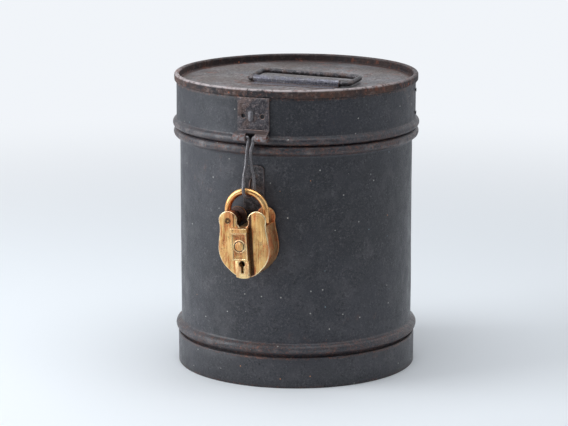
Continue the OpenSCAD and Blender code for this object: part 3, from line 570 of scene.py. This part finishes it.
def finish_named(key):
    """One material for each finish, made when it is first asked for"""
    name = "trunk_" + key
    kept = bpy.data.materials.get(name)
    if kept:
        return kept
    hue = colours()
    makers = {
        "drum": lambda: painted_tin(name, DRUM_RIDGES, pale=0.04),
        "plinth": lambda: painted_tin(name, PLINTH_RIDGES, pale=0.22),
        "lid": lambda: painted_tin(name, LID_RIDGES, rub=0.1264),
        "lid_top": lambda: lid_top_paint(name),
        "iron": lambda: rusted_iron(name, 0.30, 0.6),
        "sleeve": lambda: rusted_iron(name, 0.12, 1.0, 0.5, 0.8, Tint.sleeve, polish=0.08),
        "hasp": lambda: rusted_iron(name, 0.50, 0.75, 0.45, 0.5, Tint.hasp, low=0.2592),
        # Rusty edges of the hasp and staple plates, lightened as a painted highlight
        "rust_and_highlight_edge": lambda: rusted_iron(name, 0.55, 1.0, 0.3, 0.6, Tint.brown_highlight_edge),
        "red_edge": lambda: rusted_iron(name, 0.8, 1.0, 0.2, 0.3, Tint.red_edge),
        "pale_iron": lambda: rusted_iron(name, 0.12, 1.0, 0.35, 0.4, Tint.pale_rivet),
        "brown_iron": lambda: rusted_iron(name, 0.42, 0.8),
        "bail": lambda: rusted_iron(name, 0.38, 0.9, 0.6),
        "link": lambda: rusted_iron(name, 0.25, 1.0, 0.6, 0.5, Tint.link, polish=0.14),
        "staple": lambda: rusted_iron(name, 0.95, 0.2),
        # Dark iron for the back plate's inner faces left of the middle: painted shade inside the case, with stains
        "shade_and_grime": lambda: rusted_iron(name, 0.8, 0.15, 0.6),
        "brass": lambda: old_brass(name, hue.brass),
        "front_brass": lambda: old_brass(name, hue.brass, 0.6, 0.2, shade_and_grime=CASE_SHADE_AND_GRIME, copper=0.65, ring=RIVET_RING),
        "key_brass": lambda: old_brass(name, hue.brass_pale, 0.5, 0.3, 0.30),
        "plaque": lambda: old_brass(name, hue.brass, 0.35, 0.3, ring=PLAQUE_RING,
                                    low_face=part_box("keyhole_plate")[0][1] - 0.0014),
        # The bevelled brass edges: rubbed pale, with a painted highlight
        "plaque_highlight_edge": lambda: old_brass(name, Tint.edge_highlight_brass, 0.12, 0.05, 0.22, ring=PLAQUE_RING),
        "edge": lambda: old_brass(name, Tint.edge_highlight_brass, 0.12, 0.05, 0.22),
        "side_brass": lambda: old_brass(name, Tint.side_brass, 0.95, 0.3, copper=0.9),
        "shackle": lambda: old_shackle(name),
        "works": lambda: old_brass(name, hue.brass_dark, 0.2, 0.6, 0.45),
    }
    return makers[key]()


# Geometry

def thing(name, mesh, body, finish, replaced):
    """Puts a mesh in the scene as a piece that rides on a body and stands for CAD nodes"""
    made = bpy.data.objects.new(name, mesh)
    bpy.context.scene.collection.objects.link(made)
    made.data.materials.clear()
    made.data.materials.append(finish_named(finish))
    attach(made, body)
    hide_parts(*replaced)
    return made


def mesh_of(bm, name):
    """Turns an edited mesh into a smooth one, and frees it"""
    bmesh.ops.recalc_face_normals(bm, faces=bm.faces)
    mesh = bpy.data.meshes.new(name)
    bm.to_mesh(mesh)
    bm.free()
    mesh.shade_smooth()
    return mesh


def arc(centre, r, first, last, steps):
    """Points along an arc, between two turns in degrees"""
    turns = [radians(first + (last - first) * i / steps) for i in range(steps + 1)]
    return [(centre[0] + r * cos(t), centre[1] + r * sin(t)) for t in turns]


def bead(wall, z, r, out, hollow, off):
    """One side of a swaged bead on a wall, from below to above, in millimetres.

    The bead has radius r and stands out from the wall, and a hollow leads into it on either side. Off is how
    far the side lies inside the sheet's outer face."""
    rise = sqrt((r + hollow) ** 2 - (hollow - out + r) ** 2)
    turn = atan2(rise, r - out - hollow) * 180 / pi
    return (arc((wall + hollow, z - rise), hollow + off, 180, turn, 5)
            + arc((wall + out - r, z), r - off, turn - 180, 180 - turn, 14)
            + arc((wall + hollow, z + rise), hollow + off, -turn, -180, 5))


def dense(outline, longest):
    """Adds points to an outline's long straight stretches"""
    result = []
    for start, end in zip(outline, outline[1:] + outline[:1]):
        count = max(1, int(hypot(end[0] - start[0], end[1] - start[1]) / longest))
        result += [(start[0] + (end[0] - start[0]) * i / count, start[1] + (end[1] - start[1]) * i / count)
                   for i in range(count)]
    return result


def dented(r, turn, z, depth, seed):
    """Radius of the sheet there, pushed in by shallow dents and never out"""
    broad = Vector((cos(turn) * 2.1, sin(turn) * 2.1, z / 55.0 + seed))
    small = Vector((cos(turn) * 9.0, sin(turn) * 9.0, z / 14.0 + seed))
    push = 0.5 + 0.65 * lumps.noise(broad) + 0.18 * lumps.noise(small)
    return r - depth * min(max(push, 0.0), 1.0)


def revolved(name, outline, depth, seed, longest=9.0):
    """Turns a closed outline of (radius, height) in millimetres round the z axis, with dents"""
    steps = sizes().round_steps
    points = dense(outline, longest)
    bm = bmesh.new()
    rows = []
    for i in range(steps):
        turn = 2 * pi * i / steps
        row = []
        for r, z in points:
            wide = dented(r, turn, z, depth, seed) if r > 1 else r
            row.append(bm.verts.new((wide * cos(turn) * MM, wide * sin(turn) * MM, z * MM)))
        rows.append(row)
    count = len(points)
    for i in range(steps):
        here, there = rows[i], rows[(i + 1) % steps]
        for k in range(count):
            j = (k + 1) % count
            bm.faces.new((here[k], there[k], there[j], here[j]))
    bmesh.ops.remove_doubles(bm, verts=bm.verts, dist=1e-7)
    return mesh_of(bm, name)


def smooth_path(points, per_span):
    """A Catmull-Rom curve through the points"""
    padded = [points[0] * 2 - points[1]] + list(points) + [points[-1] * 2 - points[-2]]
    result = []
    for i in range(1, len(padded) - 2):
        a, b, c, d = padded[i - 1:i + 3]
        for k in range(per_span):
            t = k / per_span
            result.append(0.5 * (2 * b + (c - a) * t + (2 * a - 5 * b + 4 * c - d) * t * t
                                 + (3 * b - a - 3 * c + d) * t ** 3))
    result.append(padded[-2])
    return result


def wire_mesh(name, path, radius, lump, seed, closed=False):
    """A round wire along a path in metres, with rust lumps that only take it in"""
    sides = 20
    lump_size = 0.0022
    bm = bmesh.new()
    count = len(path)
    rings = []
    side = None
    for i, point in enumerate(path):
        after = path[(i + 1) % count] if closed else path[min(i + 1, count - 1)]
        before = path[i - 1] if closed or i else path[0]
        along = (after - before).normalized()
        if side is None:
            side = along.orthogonal().normalized()
        side = (side - along * side.dot(along)).normalized()
        up = along.cross(side)
        end_share = 1.0
        if not closed:
            reach = min((point - path[0]).length, (point - path[-1]).length)
            short = max(0.0, 1 - reach / (radius * 0.6))
            end_share = 0.1 + 0.9 * sqrt(1 - short ** 2)
        ring = []
        for k in range(sides):
            turn = 2 * pi * k / sides
            out = side * cos(turn) + up * sin(turn)
            spot = (point + out * radius) / lump_size
            taken = lump * (0.5 + 0.5 * lumps.fractal(spot + Vector((seed, 0, 0)), 0.6, 2.0, 3))
            ring.append(bm.verts.new(point + out * (radius - max(taken, 0.0)) * end_share))
        rings.append(ring)
    for i in range(count if closed else count - 1):
        here, there = rings[i], rings[(i + 1) % count]
        for k in range(sides):
            j = (k + 1) % sides
            bm.faces.new((here[k], here[j], there[j], there[k]))
    if not closed:
        bm.faces.new(list(reversed(rings[0])))
        bm.faces.new(rings[-1])
    return mesh_of(bm, name)


def from_cad(node):
    """A copy of a CAD node's mesh with its flat faces whole"""
    bm = bmesh.new()
    bm.from_mesh(NODES[node].data)
    bmesh.ops.remove_doubles(bm, verts=bm.verts, dist=2e-6)
    bmesh.ops.dissolve_limit(bm, angle_limit=radians(0.6), verts=bm.verts, edges=bm.edges)
    return bm


def apply_modifiers(piece):
    """Puts what a piece's modifiers make in its own mesh"""
    graph = bpy.context.evaluated_depsgraph_get()
    graph.update()
    mesh = bpy.data.meshes.new_from_object(piece.evaluated_get(graph))
    old = piece.data
    piece.modifiers.clear()
    piece.data = mesh
    bpy.data.meshes.remove(old)


def bevelled(node, finish, width, segments=3, edge=None, inner=None, clamp=False, shortest=0.0):
    """A piece with the CAD node's form and rounded edges, which may have a finish of their own.

    Where inner is given, the faces that look forward take those two finishes, left and right. Clamp holds the
    rounding back where small edges meet, and edges under the shortest length are rounded less."""
    body = NODES[node]["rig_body"]
    piece = thing(node + "_dressed", mesh_of(from_cad(node), node + "_mesh"), body, finish, (node,))
    rounding = piece.modifiers.new("round_edges", "BEVEL")
    rounding.width = width
    rounding.segments = segments
    rounding.limit_method = "ANGLE"
    rounding.angle_limit = SHARP
    if shortest:
        rounding.limit_method = "WEIGHT"
        bm = bmesh.new()
        bm.from_mesh(piece.data)
        weight = bm.edges.layers.float.new("bevel_weight_edge")
        for side in bm.edges:
            sharp = len(side.link_faces) == 2 and side.calc_face_angle(0.0) > SHARP
            if sharp:
                side[weight] = 1.0 if side.calc_length() > shortest else SHORT_EDGE_SHARE
        bm.to_mesh(piece.data)
        bm.free()
    rounding.use_clamp_overlap = clamp
    rounding.harden_normals = True
    if edge:
        piece.data.materials.append(finish_named(edge))
        rounding.material = 1
    apply_modifiers(piece)
    if inner:
        first = len(piece.data.materials)
        for key in inner:
            piece.data.materials.append(finish_named(key))
        low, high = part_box(node)
        for face in piece.data.polygons:
            if face.normal.y < -0.5:
                face.material_index = first + int(face.center.x > (low[0] + high[0]) / 2)
    return piece


def hammered(node, finish, seed, voxel=0.0003, depth=0.00015):
    """A piece with the CAD node's form, remade in faces of the voxel's size, softened and hammered in by depth"""
    hammer_mark, pit_size = 0.004, 0.0011
    body = NODES[node]["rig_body"]
    piece = thing(node + "_dressed", mesh_of(from_cad(node), node + "_mesh"), body, finish, (node,))
    remake = piece.modifiers.new("remake", "REMESH")
    remake.mode = "VOXEL"
    remake.voxel_size = voxel
    remake.use_smooth_shade = True
    soften = piece.modifiers.new("soften", "SMOOTH")
    soften.iterations = 2
    soften.factor = 0.5
    apply_modifiers(piece)
    low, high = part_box(node)
    normals = [tuple(n.vector) for n in piece.data.vertex_normals]
    moved = []
    for vertex, normal in zip(piece.data.vertices, normals):
        spot = vertex.co.copy()
        push = lumps.fractal(spot / hammer_mark + Vector((seed, seed, 0)), 0.7, 2.0, 3)
        pit = lumps.noise(spot / pit_size + Vector((seed, 0, 0)))
        spot += Vector(normal) * (-depth * (0.5 + 0.5 * push) - depth * 0.5 * max(pit, 0.0))
        moved += [min(max(spot[k], low[k]), high[k]) for k in range(3)]
    piece.data.vertices.foreach_set("co", moved)
    piece.data.update()
    piece.data.shade_smooth()
    return piece


def keep_cad(node, finish):
    """Shows a CAD node as it is, with its finish in place of the plain one"""
    materials = NODES[node].data.materials
    materials.clear()
    materials.append(finish_named(finish))


# The pieces

class MakeDrum(bpy.types.Operator):
    """Makes the drum, its floor and its plinth from sheet"""

    bl_idname = "trunk.make_drum"
    bl_label = "Drum"

    def execute(self, context):
        size = sizes()
        wall = size.drum_radius / MM
        sheet = size.sheet / MM
        dent = size.dent / MM
        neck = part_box("body_shell")[1][2] / MM
        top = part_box("plinth_band")[1][2] / MM
        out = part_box("plinth_band")[1][0] / MM
        seat_r, seat_out, seat_hollow = 4.75, 6.6, 4.0
        seat_z = neck - 13.0 - seat_r
        foot_r, foot_out, foot_hollow = 5.0, 5.6, 3.0
        foot_z = top + sqrt((foot_r + foot_hollow) ** 2 - (foot_hollow - foot_out + foot_r) ** 2) + 0.2

        def side(off):
            return ([(wall - off, sheet)] + bead(wall, foot_z, foot_r, foot_out, foot_hollow, off)
                    + bead(wall, seat_z, seat_r, seat_out, seat_hollow, off) + [(wall - off, neck)])

        shell = revolved("drum_mesh", side(0) + side(sheet)[::-1], dent, 3.0)
        thing("drum", shell, "root", "drum", ("body_shell",))
        gap = 0.3
        band = [(out - sheet, 0), (out, 0.3), (out, top - 1.0), (out - 0.3, top - 0.3), (out - 0.9, top),
                (wall + gap, top), (wall + gap, top - sheet), (out - sheet, top - sheet)]
        plinth = revolved("plinth_mesh", band, dent * 0.7, 8.0)
        thing("plinth", plinth, "root", "plinth", ("plinth_band",))
        keep_cad("bottom_disc", "drum")
        hammered("body_seam_rivets", "iron", 2.0, depth=0.00012)
        return {"FINISHED"}


class MakeLid(bpy.types.Operator):
    """Makes the lid's wall with its bead, and its top with the rolled rim"""

    bl_idname = "trunk.make_lid"
    bl_label = "Lid"

    def execute(self, context):
        size = sizes()
        sheet = size.sheet / MM
        dent = size.dent / MM
        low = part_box("lid_band")[0][2] / MM
        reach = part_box("lid_band")[1][0] / MM
        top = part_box("lid_top_panel")[1][2] / MM
        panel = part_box("lid_top_panel")[0][2] / MM + sheet
        flare_r, flare_out, flare_hollow = 4.3, 3.8, 2.0
        wall = reach - flare_out
        rise = sqrt((flare_r + flare_hollow) ** 2 - (flare_r - flare_out + flare_hollow) ** 2)
        turn = atan2(rise, flare_r - flare_out - flare_hollow) * 180 / pi
        middle = low + flare_r
        wall_top = top - 1.8

        def side(off):
            return (arc((reach - flare_r, middle), flare_r - off, -80, 180 - turn, 14)
                    + arc((wall + flare_hollow, middle + rise), flare_hollow + off, -turn, -180, 5)
                    + [(wall - off, wall_top)])

        band = revolved("lid_wall_mesh", side(0) + side(sheet)[::-1], dent, 5.0)
        thing("lid_wall", band, "lid", "lid", ("lid_band",))
        rim_wide, rim_deep, rim_r, lip_r, fillet = 5.0, 8.4, 2.2, 2.0, 1.5
        rim_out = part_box("lid_top_panel")[1][0] / MM
        rim_in = rim_out - rim_wide
        rim_low = top - rim_deep
        inside = rim_in + 0.4
        outline = ([(0.0, panel - sheet), (inside, panel - sheet), (inside, rim_low)]
                   + arc((rim_out - lip_r, rim_low + lip_r), lip_r, -90, 0, 6)
                   + arc((rim_out - rim_r, top - rim_r), rim_r, 0, 90, 8)
                   + arc((rim_in + rim_r, top - rim_r), rim_r, 90, 180, 8)
                   + arc((rim_in - fillet, panel + fillet), fillet, 0, -90, 5) + [(0.0, panel)])
        top_mesh = revolved("lid_top_mesh", outline, dent * 1.3, 11.0, longest=7.0)
        thing("lid_top", top_mesh, "lid", "lid_top", ("lid_top_panel",))
        rivets = hammered("lid_seam_rivets", "iron", 4.0)
        # The rivets' heads are worn flat
        most = (reach - 3.0) * MM
        for vertex in rivets.data.vertices:
            beyond = hypot(vertex.co.x, vertex.co.y) / most
            if beyond > 1:
                vertex.co.x /= beyond
                vertex.co.y /= beyond
        return {"FINISHED"}


class MakeHandle(bpy.types.Operator):
    """Makes the folded sleeve, its rivets and the wire bail"""

    bl_idname = "trunk.make_handle"
    bl_label = "Handle"

    def execute(self, context):
        bevelled("handle_sleeve", "sleeve", 0.0004, edge="red_edge")
        hammered("handle_rivets", "brown_iron", 7.0)
        half, reach, radius = 0.0545, 0.039, 0.0027
        near_corner, far_corner = 0.005, 0.008
        tilt = radians(4.0)
        up = Vector((0, 0, 1))
        axis = Vector(joint("bail_swing")["axis"]).normalized()
        lay = up.cross(axis) * cos(tilt) + up * sin(tilt)
        middle = joint_point("bail_swing") + axis * 0.001
        flat = []
        for x, y, turn in [(half, 0, -90), (half, reach, 0), (-half, reach, 90), (-half, 0, 180)]:
            corner = far_corner if y else near_corner
            centre = (x - corner if x > 0 else x + corner, y - corner if y else y + corner)
            flat += arc(centre, corner, turn, turn + 90, 6)
        points = []
        for x, y in dense(flat, 0.0012):
            away = y / reach
            bend = away * 0.0011 * lumps.noise(Vector((x * 24, 3.0, 0.0)))
            sag = away * (0.0005 * (x / half) + 0.0006)
            points.append(middle + axis * x + lay * (y + bend) - up * sag)
        mesh = wire_mesh("bail_mesh", points, radius, sizes().wire_lump, 4.0, closed=True)
        thing("bail", mesh, "bail", "bail", ("handle_bail",))
        return {"FINISHED"}


class MakeHasp(bpy.types.Operator):
    """Makes the hasp plate with its barrels, its rivet and the wire link"""

    bl_idname = "trunk.make_hasp"
    bl_label = "Hasp"

    def execute(self, context):
        bevelled("hasp_plate", "hasp", 0.0005, edge="rust_and_highlight_edge")
        hammered("hasp_rivet", "pale_iron", 10.0, voxel=0.00028, depth=0.0003)
        radius = 0.00178
        # The link's path from its pivot, in millimetres, as (right, forward, up)
        end, bow_depth = 14.75, 9.9
        turn_in = [(-end, 0, 0), (-9.0, 0, 0), (-4.6, 0, 0), (-3.2, 0, -0.6)]
        left = [(-2.6, 0, -2), (-2.6, 0, -6), (-3.6, 0.2, -12), (-4, 1.2, -20), (-4, 3, -28), (-4.6, 5.6, -36),
                (-4.4, 8.6, -43), (-3.4, 11.9, -49)]
        right = [(2.8, -2.3, -49), (2.8, -2, -44), (2.6, -1.4, -37), (0.9, -1, -30), (-0.1, -0.4, -22),
                 (0.3, 0, -13), (2.3, 0, -6), (2.6, 0, -2)]
        turn_out = [(3.2, 0, -0.6), (4.6, 0, 0), (9.0, 0, 0), (end, 0, 0)]
        middle = (Vector(left[-1]) + Vector(right[0])) / 2
        reach = (Vector(left[-1]) - Vector(right[0])) / 2
        bow = [middle + reach * cos(radians(a)) - Vector((0, 0, bow_depth * sin(radians(a)) ** 0.75))
               for a in range(15, 166, 15)]
        rough = [Vector(p) for p in turn_in + left + bow + right + turn_out]
        pivot = joint_point("link_swing")
        path = [pivot + Vector((p.x, -p.y, p.z)) * MM for p in smooth_path(rough, 7)]
        mesh = wire_mesh("link_mesh", path, radius, sizes().wire_lump * 0.6, 1.0)
        thing("link_wire", mesh, "link", "link", ("hasp_link",))
        return {"FINISHED"}


class MakeStaple(bpy.types.Operator):
    """Makes the staple, its plate and rivets"""

    bl_idname = "trunk.make_staple"
    bl_label = "Staple"

    def execute(self, context):
        bevelled("staple_plate", "iron", 0.0003, edge="rust_and_highlight_edge")
        hammered("staple", "staple", 13.0)
        hammered("staple_rivets", "brown_iron", 14.0, depth=0.0001)
        return {"FINISHED"}


class MakeBackHinge(bpy.types.Operator):
    """Makes the hinge at the back"""

    bl_idname = "trunk.make_back_hinge"
    bl_label = "Back hinge"

    def execute(self, context):
        hammered("hinge_body_leaf", "iron", 15.0, voxel=0.00045)
        hammered("hinge_lid_leaf", "iron", 16.0, voxel=0.00045)
        hammered("hinge_pin", "iron", 17.0, voxel=0.00035, depth=0.0001)
        hammered("hinge_body_rivets", "iron", 18.0)
        hammered("hinge_lid_rivets", "iron", 19.0)
        return {"FINISHED"}


class MakePadlock(bpy.types.Operator):
    """Makes the padlock's case, its raised plates and its shackle"""

    bl_idname = "trunk.make_padlock"
    bl_label = "Padlock"

    def execute(self, context):
        # The edge finishes on the bevels are painted highlights over rubbed brass
        bevelled("lock_front_plate", "front_brass", 0.0009, edge="edge", shortest=0.0004)
        # The back plate's forward-facing inner faces left of the middle take painted shade, and those right of it the
        # side brass
        bevelled("lock_back_plate", "brass", 0.0009, edge="side_brass", inner=("shade_and_grime", "side_brass"),
                 shortest=0.0004)
        bevelled("lock_side_band", "side_brass", 0.0003)
        bevelled("keyhole_plaque", "plaque", 0.0003, 2, edge="plaque_highlight_edge")
        bevelled("keyhole_plate", "key_brass", 0.0006, edge="edge", clamp=True)
        bevelled("shackle", "shackle", 0.0004)
        bevelled("valley_bar", "works", 0.0003)
        return {"FINISHED"}


class MakeWorks(bpy.types.Operator):
    """Gives the padlock's pins and works their finish"""

    bl_idname = "trunk.make_works"
    bl_label = "Works"

    def execute(self, context):
        for node in ("key_pin", "lever_pin", "lever_springs", "bolt_guide", "lock_bolt"):
            keep_cad(node, "works")
        keep_cad("heel_pin", "front_brass")
        keep_cad("case_rivets", "front_brass")
        keep_cad("levers", "brass")
        return {"FINISHED"}


class MakeStage(bpy.types.Operator):
    """Makes the plain pale floor, the lamps, the white surround and the camera"""

    bl_idname = "trunk.make_stage"
    bl_label = "Stage"

    def execute(self, context):
        self.floor()
        self.lamps()
        self.sky()
        self.camera()
        return {"FINISHED"}

    def add(self, name, data):
        made = bpy.data.objects.new(name, data)
        bpy.context.scene.collection.objects.link(made)
        return made

    def floor(self):
        """A pale floor that fades to the surround's white away from the trunk"""
        finish = Finish("stage_floor", specular=0.2)
        finish.done(tuple(colours().floor), 0.85)
        far = finish.add("ShaderNodeEmission")
        far.inputs["Color"].default_value = (0.88, 0.91, 0.95, 1.0)
        seen = finish.add("ShaderNodeLightPath").outputs["Is Camera Ray"]
        both = finish.add("ShaderNodeMixShader")
        finish.join(finish.times(seen, finish.step(finish.radius(), 0.45, 1.5)), both.inputs["Fac"])
        finish.join(finish.shader.outputs["BSDF"], both.inputs[1])
        finish.join(far.outputs["Emission"], both.inputs[2])
        finish.join(both.outputs["Shader"], finish.output.inputs["Surface"])
        bm = bmesh.new()
        bmesh.ops.create_circle(bm, cap_ends=True, segments=96, radius=9.0)
        made = self.add("floor", mesh_of(bm, "floor_mesh"))
        made.data.materials.append(finish.material)

    def lamps(self):
        """A window at the left, the sky above and a faint fill from the right"""
        daylight = (0.90, 0.95, 1.0)
        aim = Vector((0, 0, 0.15))
        for name, place, wide, high, power in (("window", (-1.38, -0.82, 0.80), 1.0, 1.3, 21.0),
                                               ("sky", (0.1, -0.1, 2.3), 2.2, 2.2, 40.0),
                                               ("fill", (1.5, -0.2, 0.8), 1.0, 1.2, 0.5)):
            light = bpy.data.lights.new(name, "AREA")
            light.shape = "RECTANGLE"
            light.size = wide
            light.size_y = high
            light.energy = power
            light.color = daylight
            made = self.add(name, light)
            made.location = place
            made.rotation_euler = (aim - Vector(place)).to_track_quat("-Z", "Y").to_euler()

    def sky(self):
        """A white surround: dim on the object, and darker in front of it where the room is"""
        white, dim, dark = (0.90, 0.93, 0.97), (0.22, 0.23, 0.245), (0.16, 0.165, 0.18)
        world = bpy.data.worlds.new("stage_world")
        world.use_nodes = True
        nodes = NodeTree(world.node_tree)
        ahead = nodes.add("ShaderNodeVectorMath", operation="DOT_PRODUCT")
        nodes.join(nodes.add("ShaderNodeTexCoord").outputs["Generated"], ahead.inputs[0])
        ahead.inputs[1].default_value = (sin(VIEW_TURN), -cos(VIEW_TURN), 0.0)
        shown = nodes.blend(nodes.step(ahead.outputs["Value"], 0.1, 0.8), white, dark)
        ray = nodes.add("ShaderNodeLightPath").outputs
        shiny = nodes.math("MAXIMUM", ray["Is Glossy Ray"], ray["Is Transmission Ray"])
        colour = nodes.blend(ray["Is Camera Ray"], nodes.blend(shiny, dim, shown), white)
        ground = nodes.tree.nodes["Background"]
        ground.inputs["Strength"].default_value = 1.0
        nodes.join(colour, ground.inputs["Color"])
        bpy.context.scene.world = world

    def camera(self):
        """A long lens at the photograph's angle"""
        lens = bpy.data.cameras.new("photo_camera")
        lens.sensor_width = SENSOR_MM
        lens.lens = FOCAL_PIXELS / PHOTO_WIDTH * SENSOR_MM
        lens.shift_x = -12.2 / PHOTO_WIDTH
        lens.clip_end = 20.0
        made = self.add("photo_camera", lens)
        made.location = (sin(VIEW_TURN) * VIEW_REACH, -cos(VIEW_TURN) * VIEW_REACH, VIEW_HEIGHT)
        made.rotation_euler = (pi / 2 - VIEW_PITCH, 0.0, VIEW_TURN)
        bpy.context.scene.camera = made
        bpy.context.scene.view_settings.view_transform = "Standard"


class TrunkPanel(bpy.types.Panel):
    """Lists the trunk's makers, sizes and colours"""

    bl_idname = "VIEW3D_PT_tin_trunk"
    bl_label = "Tin Trunk"
    bl_space_type = "VIEW_3D"
    bl_region_type = "UI"
    bl_category = "Tin Trunk"

    def draw(self, context):
        column = self.layout.column(align=True)
        for maker in MAKERS:
            column.operator(maker.bl_idname)
        for group in (context.scene.trunk_sizes, context.scene.trunk_colours):
            for key in group.bl_rna.properties.keys():
                if key not in ("rna_type", "name"):
                    column.prop(group, key)


MAKERS = (MakeDrum, MakeLid, MakeHandle, MakeHasp, MakeStaple, MakeBackHinge, MakePadlock, MakeWorks, MakeStage)
GROUPS = (TrunkSizes, TrunkColours)


def register():
    for kind in GROUPS + MAKERS + (TrunkPanel,):
        bpy.utils.register_class(kind)
    bpy.types.Scene.trunk_sizes = bpy.props.PointerProperty(type=TrunkSizes)
    bpy.types.Scene.trunk_colours = bpy.props.PointerProperty(type=TrunkColours)


def unregister():
    del bpy.types.Scene.trunk_colours
    del bpy.types.Scene.trunk_sizes
    for kind in reversed(GROUPS + MAKERS + (TrunkPanel,)):
        bpy.utils.unregister_class(kind)


def main():
    register()
    for maker in MAKERS:
        family, action = maker.bl_idname.split(".")
        getattr(getattr(bpy.ops, family), action)()


if __name__ == "__main__":
    main()
